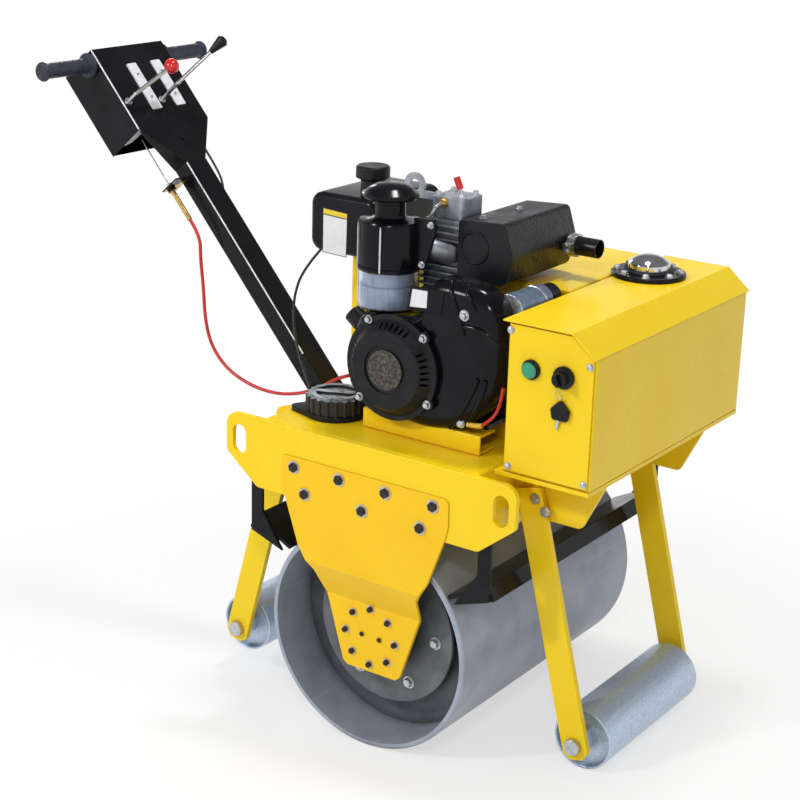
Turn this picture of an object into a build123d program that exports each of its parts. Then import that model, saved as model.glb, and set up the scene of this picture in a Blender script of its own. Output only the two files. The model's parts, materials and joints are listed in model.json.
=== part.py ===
from build123d import *
import os
from math import asin, atan2, cos, degrees, hypot, pi, radians, sin, tan

# Walk-behind single-drum vibratory road roller, in millimetres.
# Modelled level, with the ground point under the drum's axle at the origin:
# +X away from the operator, +Y across the machine, +Z up. It is then parked,
# nose down on its front roller, and its box is centred on the origin.

# Drum
DRUM_DIAMETER = 426
DRUM_LENGTH = 600
DRUM_WALL = 10
DRUM_EDGE_CHAMFER = 3
BULKHEAD_DEPTH = 100
BULKHEAD_THICKNESS = 10
DAMPER_DISC_DIAMETER = 292
DAMPER_DISC_THICKNESS = 8
DAMPER_DISC_DEPTH = 65
BUFFER_DIAMETER = 48
BUFFER_COUNT = 6
BUFFER_CIRCLE = 220
STUB_DIAMETER = 50
AXLE_HEIGHT = DRUM_DIAMETER / 2

# Clearances
RUNNING_CLEARANCE = 0.05
SEAT_CLEARANCE = 0.3
MOVING_CLEARANCE = 5

# Deck tank and its side plates
DECK_LENGTH = 460
DECK_BOTTOM = 453
DECK_TOP = 587
DECK_WALL = 4
SIDE_PLATE_GAP = 6
SIDE_PLATE_THICKNESS = 10
SIDE_PLATE_LENGTH = 624
SIDE_PLATE_END_BOTTOM = 510
SIDE_PLATE_FLAT = 480
LIFTING_SLOT_WIDTH = 30
LIFTING_SLOT_HEIGHT = 56
LIFTING_SLOT_INSET = 30
LIFTING_SLOT_Z = 537
SIDE_INNER = DRUM_LENGTH / 2 + SIDE_PLATE_GAP
SIDE_OUTER = SIDE_INNER + SIDE_PLATE_THICKNESS

# Drum brackets, joggled into the drum's open ends
BRACKET_THICKNESS = 10
BRACKET_TOP = 533
BRACKET_TOP_WIDTH = 356
BRACKET_SHOULDER_Z = 465
BRACKET_WAIST_Z = 278
BRACKET_WAIST_WIDTH = 226
BRACKET_TOE_Z = 138
BRACKET_TOE_WIDTH = 132
JOGGLE_DEPTH = 46
JOGGLE_TOP_Z = 300
JOGGLE_BOTTOM_Z = 255
HOUSING_FLANGE_DIAMETER = 150
HOUSING_FLANGE_THICKNESS = 8
HOUSING_BOSS_DIAMETER = 100

# Legs and rollers at each end
LEG_WIDTH = 50
LEG_THICKNESS = 12
LEG_OUTER = 199
LEG_TOP = (264, 540)
ROLLER_CENTRE = (384, 83)
LEG_TIP = 27
LEG_TIP_CHAMFER = 13
GUSSET_THICKNESS = 8
GUSSET_BOTTOM = 485
ROLLER_DIAMETER = 114
ROLLER_LENGTH = 336
ROLLER_WALL = 4
ROLLER_END_RECESS = 12
ROLLER_END_THICKNESS = 8
ROLLER_HUB_DIAMETER = 36
ROLLER_AXLE_DIAMETER = 20
AXLE_NUT_DIAMETER = 30
AXLE_NUT_THICKNESS = 10

# Drum scrapers
SCRAPER_ANGLE = 36
SCRAPER_TILT = 27
SCRAPER_WIDTH = 93
SCRAPER_THICKNESS = 8
SCRAPER_LIP = 22
SCRAPER_LUG_WIDTH = 26
SCRAPER_LUG_THICKNESS = 6
SCRAPER_LUG_TOP = 500

# Engine rails and belt guard
RAIL_START = -67
RAIL_END = 182
RAIL_HEIGHT = 36
RAIL_WIDTH = 50
RAIL_WALL = 5
RAIL_NEAR = -230
RAIL_PITCH = 110
GUARD_START = -232
GUARD_END = 240
GUARD_NEAR = -48
GUARD_FAR = 279
GUARD_TOP = 855
GUARD_WALL = 3

# Front tank
TANK_START = 258
TANK_END = 424
TANK_HALF_WIDTH = 279
TANK_BASE_THICKNESS = 8
TANK_TOP = 855
TANK_SLOPE_START = 380
TANK_SLOPE_END_Z = 818
TANK_WALL = 3
TANK_COVER_OVERHANG = 7
PANEL_THICKNESS = 3
PANEL_MARGIN = 4
FILLER_PLACE = (297, 130)
FILLER_FLANGE_DIAMETER = 135
FILLER_FLANGE_THICKNESS = 8
FILLER_CAP_DIAMETER = 76
FILLER_CAP_HEIGHT = 26
BUTTON_PLACE = (305, 781)
SWITCH_PLACE = (367, 780)
FOB_PLACE = (365, 721)

# Water filler on the deck
WATER_CAP_PLACE = (-145, -205)
WATER_CAP_DIAMETER = 104
WATER_CAP_TOP = 630
WATER_CAP_RIBS = 20
WATER_CAP_RIB_DIAMETER = 8
WATER_CAP_BEVEL = 4
WATER_CAP_DISH = 75
WATER_CAP_DISH_DEPTH = 6
WATER_CAP_GRIP_WIDTH = 14
WATER_CAP_GRIP_TURN = 25
TETHER_THICKNESS = 10
TETHER_RIM = 5
TETHER_TIP = (-212, -232)
TETHER_TIP_RADIUS = 12

# Engine
CRANK = (10, 718)
CRANKCASE_START = -92
CRANKCASE_END = 112
CRANKCASE_TOP = 800
CRANKCASE_NEAR = -195
CRANKCASE_FEET = 10
FAN_DIAMETER = 234
COWL_DEPTH = 50
COWL_TOP = 886
COWL_END = 222
COWL_BOWL_GAP = 9
RECOIL_FACE = -275
RECOIL_FLANGE_DIAMETER = 190
RECOIL_DOME_DIAMETER = 172
RECOIL_FACE_DIAMETER = 140
RECOIL_FLANGE_THICKNESS = 6
RECOIL_BADGE_DIAMETER = 88
RECOIL_BADGE_DEPTH = 3
RECOIL_EAR_CIRCLE = 186
RECOIL_EAR_DIAMETER = 22
RECOIL_EAR_ANGLES = (45, 122, 225, -33)
LOUVRE_GROUPS = (10, 82, 172)
LOUVRES_IN_GROUP = 6
LOUVRE_PITCH = 8
LOUVRE_WIDTH = 4.5
LOUVRE_EDGE = 3
HEAD_START = -12
HEAD_END = 66
HEAD_NEAR = -132
HEAD_FAR = -52
HEAD_BOTTOM = 800
HEAD_TOP = 962
FIN_PITCH = 12
FIN_THICKNESS = 4
FIN_REACH = 6
ROCKER_TOP = 1000
PORT_DIAMETER = 36
EYE_PLACE = (-54, -103, 1009)
EYE_DIAMETER = 44
EYE_BORE = 20
EYE_THICKNESS = 4
EYE_STRAP = 14
FUEL_TANK_START = -262
FUEL_TANK_END = -110
FUEL_TANK_NEAR = -140
FUEL_TANK_FAR = 70
FUEL_TANK_BOTTOM = 864
FUEL_TANK_TOP = 974
FUEL_TANK_ROUNDING = 24
FUEL_TANK_END_ROUNDING = 12
FUEL_TANK_WALL = 3
FUEL_STRAP_WIDTH = 24
FUEL_CAP_PLACE = (-150, -100)
FUEL_CAP_DIAMETER = 62
FUEL_CAP_TOP = 1030
AIR_CLEANER_PLACE = (-43, -195)
AIR_CLEANER_DIAMETER = 114
AIR_CLEANER_BOTTOM = 858
AIR_CLEANER_TOP = 1012
AIR_CLEANER_NECK = 54
AIR_CLEANER_LID = 98
INTAKE_OFFSET = 38
INTAKE_DIAMETER = 30
INTAKE_Z = 928
BOWL_DIAMETER = 106
BOWL_BOTTOM = 806
MUFFLER_START = 70
MUFFLER_END = 182
MUFFLER_NEAR = -150
MUFFLER_FAR = 65
MUFFLER_BOTTOM = 868
MUFFLER_TOP = 978
MUFFLER_WALL = 3
MUFFLER_BEAD = 2.5
MUFFLER_RING = 60
MUFFLER_RING_PLACE = (104, 928)
EXHAUST_DIAMETER = 34
EXHAUST_REACH = 62
EXHAUST_PLACE = (40, 913)
CLAMP_WIDTH = 14
CLAMP_BAND = 4
CLAMP_LUG = 14
STARTER_PLACE = (205, 842)
STARTER_DIAMETER = 56
STARTER_LENGTH = 143
OIL_FILLER_DIAMETER = 36
LEVER_BOSS_HEIGHT = 6
DECOMPRESSION_LEAN = 0.45
DECOMPRESSION_REACH = 36
DECOMPRESSION_GRIP = 22

# Handle, modelled upright on its pivot and then leaned back
HANDLE_SLOPE = 48.7
HANDLE_PIVOT = (-275, 492)
ARM_WIDTH = 60
ARM_DEPTH = 40
ARM_WALL = 3
ARM_FOOT = 24
ARM_TOP = 604
HEAD_BASE = 690
HEAD_REACH = 882
HEAD_WIDTH = 206
HEAD_DEPTH = 97
HEAD_WALL = 4
PIVOT_DIAMETER = 16
PIVOT_NUT_DIAMETER = 26
PIVOT_NUT_HEIGHT = 9
PIVOT_PAD = 6
PIVOT_CHEEK = 8
PIVOT_CHEEK_GAP = 3
GRIP_REACH = 233
GRIP_DIAMETER = 30
GRIP_COLLAR_DIAMETER = 50
GRIP_DROP = 25
GRIP_INSET = 21
SLOT_PLATE_LENGTH = 109
SLOT_PLATE_WIDTH = 26
SLOT_PLATE_THICKNESS = 3
SLOT_PLATE_INSET = 45
SLOT_PLATE_CORNER = 2.5
SLOT_PLATE_SIDES = (-22, 48)
LEVER_DIAMETER = 8
BALL_DIAMETER = 30
BALL_LEVER_FOOT = (-91, 753)
BALL_LEVER_ELBOW = 31
BALL_LEVER_REACH = 85
BALL_PLACE = (-18, 771)
CONE_LEVER_FOOT = (0, 745)
CONE_LEVER_ELBOW = 61
CONE_LEVER_REACH = 130
CONE_PLACE = (54, 764)
CONE_KNOB_LENGTH = 40
CONE_KNOB_DIAMETER = 25
CABLE_TAB_REACH = 577
CABLE_SIDE = -60
CABLE_DIAMETER = 7
WIRE_DIAMETER = 3
THIN_CABLE_DIAMETER = 5


# Drawing helpers
def outline(points, radii):
    """A closed outline with a rounding of its own at each corner."""
    return make_face(FilletPolyline(*points, radius=radii, close=True))


def standing(sketch, y_low, y_high):
    """An (x, z) sketch stood upright and given its thickness along Y."""
    return Pos(0, y_high, 0) * (Plane.XZ * extrude(sketch, amount=y_high - y_low))


def block(x, y, z):
    """A plain block between two places along each axis."""
    size = [high - low for low, high in (x, y, z)]
    centre = [(high + low) / 2 for low, high in (x, y, z)]
    return Pos(*centre) * Box(*size)


def rod(radius, start, end):
    """A round bar from one point to another."""
    start, end = Vector(*start), Vector(*end)
    plane = Plane(origin=start, z_dir=end - start)
    return extrude(plane * Circle(radius), amount=(end - start).length)


def turned_y(points, x, z):
    """A (radius, y) profile turned about an axis across the machine."""
    return Pos(x, 0, z) * revolve(make_face(Polyline(*points, close=True)), Axis.Y)


def turned_z(points, x, y):
    """A (radius, z) profile turned about an upright axis."""
    profile = Plane.XZ * make_face(Polyline(*points, close=True))
    return Pos(x, y, 0) * revolve(profile, Axis.Z)


def both_sides(shape):
    """A piece and its mirror image on the far side, as separate solids."""
    return Compound([*shape.solids(), *mirror(shape, about=Plane.XZ).solids()])


def both_ends(shape):
    """A piece and its mirror image at the rear end, as separate solids."""
    return Compound([*shape.solids(), *mirror(shape, about=Plane.YZ).solids()])


def far_side(shape):
    """The mirror image of a near-side piece."""
    return mirror(shape, about=Plane.XZ)


def rear_end(shape):
    """The mirror image of a front-end piece."""
    return mirror(shape, about=Plane.YZ)


# Drum
DISC_FACE = DRUM_LENGTH / 2 - DAMPER_DISC_DEPTH
BULKHEAD_FACE = DRUM_LENGTH / 2 - BULKHEAD_DEPTH


def drum_shell():
    """Rolled shell, open at both ends, with chamfered rims."""
    outer, inner = DRUM_DIAMETER / 2, DRUM_DIAMETER / 2 - DRUM_WALL
    half = DRUM_LENGTH / 2
    return turned_y(
        [
            (inner, -half),
            (outer - DRUM_EDGE_CHAMFER, -half),
            (outer, -half + DRUM_EDGE_CHAMFER),
            (outer, half - DRUM_EDGE_CHAMFER),
            (outer - DRUM_EDGE_CHAMFER, half),
            (inner, half),
        ],
        0,
        AXLE_HEIGHT,
    )


def drum_bulkheads():
    """Round plates welded inside the shell, set back from each open end."""
    radius = DRUM_DIAMETER / 2 - DRUM_WALL
    back = -BULKHEAD_FACE + BULKHEAD_THICKNESS
    profile = [(0, -BULKHEAD_FACE), (radius, -BULKHEAD_FACE), (radius, back), (0, back)]
    return both_sides(turned_y(profile, 0, AXLE_HEIGHT))


def damper_disc():
    """Near driving disc on the buffers, with the stub shaft that its bearing carries."""
    back = -DISC_FACE + DAMPER_DISC_THICKNESS
    radius, stub = DAMPER_DISC_DIAMETER / 2, STUB_DIAMETER / 2
    end = -HOUSING_BACK + MOVING_CLEARANCE
    return turned_y(
        [(0, back), (radius, back), (radius, -DISC_FACE), (stub, -DISC_FACE), (stub, end), (0, end)],
        0,
        AXLE_HEIGHT,
    )


def drum_buffers():
    """Rubber buffers between each driving disc and its bulkhead."""
    back = DISC_FACE - DAMPER_DISC_THICKNESS
    solids = []
    for place in PolarLocations(BUFFER_CIRCLE / 2, BUFFER_COUNT):
        x, z = place.position.X, place.position.Y + AXLE_HEIGHT
        solids.append(rod(BUFFER_DIAMETER / 2, (x, -back, z), (x, -BULKHEAD_FACE, z)))
    return both_sides(Compound(solids))


# Deck and side plates
def deck():
    """Closed sheet steel box over the drum, which is also the water tank."""
    half = DECK_LENGTH / 2
    body = block((-half, half), (-SIDE_INNER, SIDE_INNER), (DECK_BOTTOM, DECK_TOP))
    hollow = block(
        (-half + DECK_WALL, half - DECK_WALL),
        (-SIDE_INNER + DECK_WALL, SIDE_INNER - DECK_WALL),
        (DECK_BOTTOM + DECK_WALL, DECK_TOP - DECK_WALL),
    )
    return body - hollow


SLOT_X = SIDE_PLATE_LENGTH / 2 - LIFTING_SLOT_INSET


def side_plate():
    """Near side plate, with a lifting slot through each end."""
    half, flat = SIDE_PLATE_LENGTH / 2, SIDE_PLATE_FLAT / 2
    face = outline(
        [
            (-flat, DECK_BOTTOM),
            (flat, DECK_BOTTOM),
            (half, SIDE_PLATE_END_BOTTOM),
            (half, DECK_TOP),
            (-half, DECK_TOP),
            (-half, SIDE_PLATE_END_BOTTOM),
        ],
        [15, 15, 12, 26, 26, 12],
    )
    for side in (-1, 1):
        face -= Pos(side * SLOT_X, LIFTING_SLOT_Z) * Rot(0, 0, 90) * SlotOverall(
            LIFTING_SLOT_HEIGHT, LIFTING_SLOT_WIDTH
        )
    return standing(face, -SIDE_OUTER, -SIDE_INNER)


# Drum brackets and bearing housings
BRACKET_OUTER = SIDE_OUTER + BRACKET_THICKNESS
BRACKET_LOWER_OUTER = BRACKET_OUTER - JOGGLE_DEPTH
HOUSING_BACK = BRACKET_LOWER_OUTER - BRACKET_THICKNESS
HOUSING_FACE = DISC_FACE + MOVING_CLEARANCE + 1


def drum_bracket():
    """Near bracket: flat outside the side plate, joggled in to the bearing below."""
    drop = JOGGLE_TOP_Z - JOGGLE_BOTTOM_Z
    lift = BRACKET_THICKNESS * tan(atan2(JOGGLE_DEPTH, drop) / 2)
    top, low = BRACKET_TOP + 1, BRACKET_TOE_Z - 1
    section = Polyline(
        (-BRACKET_OUTER, top),
        (-BRACKET_OUTER, JOGGLE_TOP_Z),
        (-BRACKET_LOWER_OUTER, JOGGLE_BOTTOM_Z),
        (-BRACKET_LOWER_OUTER, low),
        (-HOUSING_BACK, low),
        (-HOUSING_BACK, JOGGLE_BOTTOM_Z + lift),
        (-SIDE_OUTER, JOGGLE_TOP_Z + lift),
        (-SIDE_OUTER, top),
        close=True,
    )
    width = BRACKET_TOP_WIDTH / 2
    bent = Pos(-width, 0, 0) * extrude(Plane.YZ * make_face(section), amount=2 * width)
    half = [
        (width, BRACKET_TOP),
        (width - 3, BRACKET_SHOULDER_Z),
        (BRACKET_WAIST_WIDTH / 2, BRACKET_WAIST_Z),
        (BRACKET_TOE_WIDTH / 2, BRACKET_TOE_Z),
    ]
    mirrored = [(-x, z) for x, z in reversed(half)]
    face = outline(half + mirrored, [12, 40, 40, 24, 24, 40, 40, 12])
    return bent & standing(face, -BRACKET_OUTER - 1, -HOUSING_BACK + 1)


def bearing_housings():
    """Flanged bearing housing on the inside of each drum bracket."""
    flange, boss = HOUSING_FLANGE_DIAMETER / 2, HOUSING_BOSS_DIAMETER / 2
    bore = STUB_DIAMETER / 2 + RUNNING_CLEARANCE
    step = -HOUSING_BACK + HOUSING_FLANGE_THICKNESS
    floor = -HOUSING_BACK + MOVING_CLEARANCE - 1
    near = turned_y(
        [
            (0, -HOUSING_BACK),
            (flange, -HOUSING_BACK),
            (flange, step),
            (boss, step),
            (boss, -HOUSING_FACE),
            (bore, -HOUSING_FACE),
            (bore, floor),
            (0, floor),
        ],
        0,
        AXLE_HEIGHT,
    )
    return both_sides(near)


# Legs, gussets and rollers
LEG_INNER = LEG_OUTER - LEG_THICKNESS
LEG_RUN = Vector(ROLLER_CENTRE[0] - LEG_TOP[0], ROLLER_CENTRE[1] - LEG_TOP[1])


def leg():
    """Front near leg: a flat bar with a chamfered toe, drilled for the roller's axle."""
    along = LEG_RUN.normalized()
    across = Vector(-along.Y, along.X)
    top = Vector(*LEG_TOP)
    toe = Vector(*ROLLER_CENTRE) + along * LEG_TIP
    half = LEG_WIDTH / 2
    inset = half - LEG_TIP_CHAMFER
    corners = [
        top + across * half,
        top - across * half,
        toe - across * half - along * LEG_TIP_CHAMFER,
        toe - across * inset,
        toe + across * inset,
        toe + across * half - along * LEG_TIP_CHAMFER,
    ]
    face = make_face(Polyline(*[(c.X, c.Y) for c in corners], close=True))
    face -= Pos(*ROLLER_CENTRE) * Circle(ROLLER_AXLE_DIAMETER / 2 + SEAT_CLEARANCE)
    return standing(face, -LEG_OUTER, -LEG_INNER)


def leg_gussets():
    """Gusset plates that carry the front tank and the legs, on each end of the deck."""
    deck_end = DECK_LENGTH / 2
    base = DECK_TOP - 2
    front = outline(
        [(deck_end, GUSSET_BOTTOM), (365, GUSSET_BOTTOM), (407, 572), (407, base), (deck_end, base)],
        [0, 12, 6, 0, 0],
    )
    rear = outline(
        [(-deck_end, GUSSET_BOTTOM), (-deck_end, base), (-300, 560), (-300, GUSSET_BOTTOM)],
        [0, 0, 15, 15],
    )
    near = [standing(f, -LEG_INNER, -LEG_INNER + GUSSET_THICKNESS) for f in (front, rear)]
    return both_sides(Compound([s for shape in near for s in shape.solids()]))


def roller_axles():
    """Fixed axle of each roller, nutted outside its two legs."""
    shaft, nut = ROLLER_AXLE_DIAMETER / 2, AXLE_NUT_DIAMETER / 2
    end = LEG_OUTER + AXLE_NUT_THICKNESS
    profile = [(0, -end), (nut, -end), (nut, -LEG_OUTER), (shaft, -LEG_OUTER)]
    profile += [(r, -y) for r, y in reversed(profile)]
    return both_ends(turned_y(profile, *ROLLER_CENTRE))


def roller():
    """Front roller: a tube with set-back end discs, and hubs that turn on the fixed axle."""
    outer, half = ROLLER_DIAMETER / 2, ROLLER_LENGTH / 2
    inner = outer - ROLLER_WALL
    bore = ROLLER_AXLE_DIAMETER / 2 + RUNNING_CLEARANCE
    hub = ROLLER_HUB_DIAMETER / 2
    body = turned_y([(inner, -half), (outer, -half), (outer, half), (inner, half)], *ROLLER_CENTRE)
    face = half - ROLLER_END_RECESS
    hub_end = LEG_INNER - MOVING_CLEARANCE
    for side in (-1, 1):
        profile = [
            (bore, face - ROLLER_END_THICKNESS),
            (inner, face - ROLLER_END_THICKNESS),
            (inner, face),
            (hub, face),
            (hub, hub_end),
            (bore, hub_end),
        ]
        body += turned_y([(r, side * y) for r, y in profile], *ROLLER_CENTRE)
    return body


# Scrapers
def scraper():
    """Front scraper: a blade along the drum, hung from the side plates by a lug at each end."""
    reach = DRUM_DIAMETER / 2 + MOVING_CLEARANCE
    angle, tilt = radians(SCRAPER_ANGLE), radians(SCRAPER_TILT)
    edge = Vector(reach * cos(angle), AXLE_HEIGHT + reach * sin(angle))
    along = Vector(cos(tilt), sin(tilt))
    up = Vector(-along.Y, along.X)
    heel = edge + along * SCRAPER_WIDTH
    corners = [
        edge,
        heel - along * SCRAPER_THICKNESS,
        heel - along * SCRAPER_THICKNESS - up * SCRAPER_LIP,
        heel - up * SCRAPER_LIP,
        heel + up * SCRAPER_THICKNESS,
        edge + up * SCRAPER_THICKNESS,
    ]
    blade = make_face(Polyline(*[(c.X, c.Y) for c in corners], close=True))
    lug_start = DECK_LENGTH / 2 + MOVING_CLEARANCE
    lug_end = lug_start + SCRAPER_LUG_WIDTH
    lug = outline(
        [
            (lug_start - SCRAPER_WIDTH / 2, heel.Y - SCRAPER_WIDTH / 2),
            (lug_end, heel.Y - SCRAPER_LIP),
            (lug_end, SCRAPER_LUG_TOP),
            (lug_start, SCRAPER_LUG_TOP),
            (lug_start, heel.Y + SCRAPER_LIP),
        ],
        [0, 0, 6, 6, 0],
    )
    lug_inner = SIDE_INNER - SCRAPER_LUG_THICKNESS
    body = standing(blade, -lug_inner, lug_inner)
    body += standing(lug, -SIDE_INNER, -lug_inner)
    body += standing(lug, lug_inner, SIDE_INNER)
    return body


# Engine rails, belt guard and front tank
RAIL_TOP = DECK_TOP + RAIL_HEIGHT


def engine_rails():
    """Two channel rails that carry the engine on the deck, open towards each other."""
    rails = []
    for near in (RAIL_NEAR, RAIL_NEAR + RAIL_PITCH):
        opening = block(
            (RAIL_START, RAIL_END),
            (near + RAIL_WALL, near + RAIL_WIDTH + 1),
            (DECK_TOP + RAIL_WALL, RAIL_TOP - RAIL_WALL),
        )
        bar = block((RAIL_START, RAIL_END), (near, near + RAIL_WIDTH), (DECK_TOP, RAIL_TOP))
        rails += (bar - opening).solids()
    return Compound(rails)


def belt_guard():
    """Sheet guard over the belt drive on the far half of the deck, closed by its base sheet."""
    body = block((GUARD_START, GUARD_END), (GUARD_NEAR, GUARD_FAR), (DECK_TOP, GUARD_TOP))
    return body - block(
        (GUARD_START + GUARD_WALL, GUARD_END - GUARD_WALL),
        (GUARD_NEAR + GUARD_WALL, GUARD_FAR - GUARD_WALL),
        (DECK_TOP + GUARD_WALL, GUARD_TOP - GUARD_WALL),
    )


TANK_BASE_BOTTOM = DECK_TOP - 2
TANK_BOTTOM = TANK_BASE_BOTTOM + TANK_BASE_THICKNESS


def tank_base():
    """Base plate that the front tank stands on, laid over the gussets."""
    near_tongue = block(
        (GUARD_END + 3, TANK_START), (-TANK_HALF_WIDTH, GUARD_NEAR - 12), (TANK_BASE_BOTTOM, TANK_BOTTOM)
    )
    plate = block(
        (TANK_START, TANK_END), (-TANK_HALF_WIDTH, TANK_HALF_WIDTH), (TANK_BASE_BOTTOM, TANK_BOTTOM)
    )
    return plate + near_tongue


def tank_section(inset):
    """The front tank's end outline, drawn in by an inset all round."""
    slope = atan2(TANK_TOP - TANK_SLOPE_END_Z, TANK_END - TANK_SLOPE_START)
    return [
        (TANK_START + inset, TANK_BOTTOM + inset),
        (TANK_END - inset, TANK_BOTTOM + inset),
        (TANK_END - inset, TANK_SLOPE_END_Z - inset * tan(slope / 2)),
        (TANK_SLOPE_START - inset * tan(slope / 2), TANK_TOP - inset),
        (TANK_START + inset, TANK_TOP - inset),
    ]


def front_tank():
    """Closed sheet steel box across the front, with a sloped front top edge."""
    near = -TANK_HALF_WIDTH + PANEL_THICKNESS
    outer = make_face(Polyline(*tank_section(0), close=True))
    inner = make_face(Polyline(*tank_section(TANK_WALL), close=True))
    body = standing(outer, near, TANK_HALF_WIDTH)
    return body - standing(inner, near + TANK_WALL, TANK_HALF_WIDTH - TANK_WALL)


def tank_cover():
    """Bent cover sheet over the tank's top and slope, standing proud all round."""
    slope = atan2(TANK_TOP - TANK_SLOPE_END_Z, TANK_END - TANK_SLOPE_START)
    face = make_face(
        Polyline(
            (TANK_START - TANK_COVER_OVERHANG, TANK_TOP),
            (TANK_SLOPE_START, TANK_TOP),
            (TANK_END, TANK_SLOPE_END_Z),
            (TANK_END + TANK_WALL * sin(slope), TANK_SLOPE_END_Z + TANK_WALL * cos(slope)),
            (TANK_SLOPE_START + TANK_WALL * tan(slope / 2), TANK_TOP + TANK_WALL),
            (TANK_START - TANK_COVER_OVERHANG, TANK_TOP + TANK_WALL),
            close=True,
        )
    )
    reach = TANK_HALF_WIDTH + TANK_COVER_OVERHANG
    return standing(face, -reach, reach)


def control_panel():
    """Screwed plate that closes the tank's near end and carries the engine controls."""
    face = make_face(Polyline(*tank_section(PANEL_MARGIN), close=True))
    return standing(face, -TANK_HALF_WIDTH, -TANK_HALF_WIDTH + PANEL_THICKNESS)


def start_button():
    """Push button in a round bezel."""
    face = -TANK_HALF_WIDTH
    return turned_y(
        [
            (0, face),
            (17, face),
            (17, face - 4),
            (14, face - 6),
            (14, face - 9),
            (12, face - 11),
            (0, face - 11),
        ],
        *BUTTON_PLACE,
    )


def key_switch():
    """Key switch: a collar and the knob that stands out of it."""
    face = -TANK_HALF_WIDTH
    return turned_y(
        [
            (0, face),
            (19, face),
            (19, face - 6),
            (16, face - 9),
            (12, face - 9),
            (12, face - 22),
            (0, face - 22),
        ],
        *SWITCH_PLACE,
    )


def key_fob():
    """Spare key fob hanging flat on the panel below the switch."""
    face = -TANK_HALF_WIDTH
    x, z = FOB_PLACE
    corners = [(x - 14, z - 14), (x + 14, z - 14), (x + 18, z + 4), (x, z + 22), (x - 18, z + 4)]
    return standing(outline(corners, [5, 5, 5, 6, 5]), face - 8, face - SEAT_CLEARANCE)


def filler_flange():
    """Round filler flange bolted to the tank's cover."""
    low = TANK_TOP + TANK_WALL
    radius = FILLER_FLANGE_DIAMETER / 2
    neck = FILLER_CAP_DIAMETER / 2 - 3
    return turned_z(
        [
            (0, low),
            (radius, low),
            (radius, low + FILLER_FLANGE_THICKNESS - 2),
            (radius - 2, low + FILLER_FLANGE_THICKNESS),
            (neck, low + FILLER_FLANGE_THICKNESS),
            (neck, low + FILLER_FLANGE_THICKNESS + 4),
            (0, low + FILLER_FLANGE_THICKNESS + 4),
        ],
        *FILLER_PLACE,
    )


def filler_cap():
    """Plated screw cap with a domed top."""
    low = TANK_TOP + TANK_WALL + FILLER_FLANGE_THICKNESS + 4
    radius, height = FILLER_CAP_DIAMETER / 2, FILLER_CAP_HEIGHT
    return turned_z(
        [
            (0, low),
            (radius, low),
            (radius, low + height * 0.45),
            (radius - 4, low + height * 0.6),
            (radius * 0.62, low + height * 0.85),
            (radius * 0.3, low + height),
            (0, low + height),
        ],
        *FILLER_PLACE,
    )


def cap_tether():
    """Moulded ring under the water cap, drawn out to a pointed tab."""
    ring = Pos(*WATER_CAP_PLACE) * Circle(WATER_CAP_DIAMETER / 2 + TETHER_RIM)
    tip = Pos(*TETHER_TIP) * Circle(TETHER_TIP_RADIUS)
    face = make_hull(ring.edges() + tip.edges())
    return Pos(0, 0, DECK_TOP) * extrude(face, amount=TETHER_THICKNESS)


def water_cap():
    """Large screw cap with a ribbed skirt and a raised grip bar across a dished top."""
    low, radius = DECK_TOP + TETHER_THICKNESS, WATER_CAP_DIAMETER / 2
    top, dish = WATER_CAP_TOP, WATER_CAP_DISH / 2
    shoulder, floor = top - WATER_CAP_BEVEL, top - WATER_CAP_DISH_DEPTH
    cap = turned_z(
        [
            (0, low),
            (radius, low),
            (radius, shoulder),
            (radius - WATER_CAP_BEVEL, top),
            (dish, top),
            (dish, floor),
            (0, floor),
        ],
        *WATER_CAP_PLACE,
    )
    x, y = WATER_CAP_PLACE
    for place in PolarLocations(radius, WATER_CAP_RIBS):
        rib_x, rib_y = x + place.position.X, y + place.position.Y
        cap += rod(WATER_CAP_RIB_DIAMETER / 2, (rib_x, rib_y, low), (rib_x, rib_y, shoulder))
    bar = Box(2 * dish, WATER_CAP_GRIP_WIDTH, WATER_CAP_DISH_DEPTH)
    return cap + Pos(x, y, (top + floor) / 2) * Rot(0, 0, WATER_CAP_GRIP_TURN) * bar


# Engine
GUARD_SEAT = GUARD_NEAR - SEAT_CLEARANCE
COWL_BACK = CRANKCASE_NEAR
COWL_FACE = COWL_BACK - COWL_DEPTH


def crankcase():
    """Cast crankcase on its feet, with the cylinder barrel rising from it."""
    body = block((CRANKCASE_START, CRANKCASE_END), (CRANKCASE_NEAR, GUARD_SEAT), (RAIL_TOP, CRANKCASE_TOP))
    body = fillet(body.edges().filter_by(Axis.Y), 18)
    feet = block(
        (RAIL_START + 8, RAIL_END - 8), (CRANKCASE_NEAR, GUARD_SEAT), (RAIL_TOP, RAIL_TOP + CRANKCASE_FEET)
    )
    start, end, _ = oil_neck()
    return body + feet + rod(OIL_FILLER_DIAMETER / 2 - 5, start, end)


def oil_neck():
    """Points along the oil filler: neck root, neck end and plug end, leaning up and back."""
    root = Vector(CRANKCASE_START + 10, CRANKCASE_NEAR + 25, CRANKCASE_TOP - 68)
    lean = Vector(-0.8, 0, 0.6)
    return root, root + lean * 40, root + lean * 70


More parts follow.
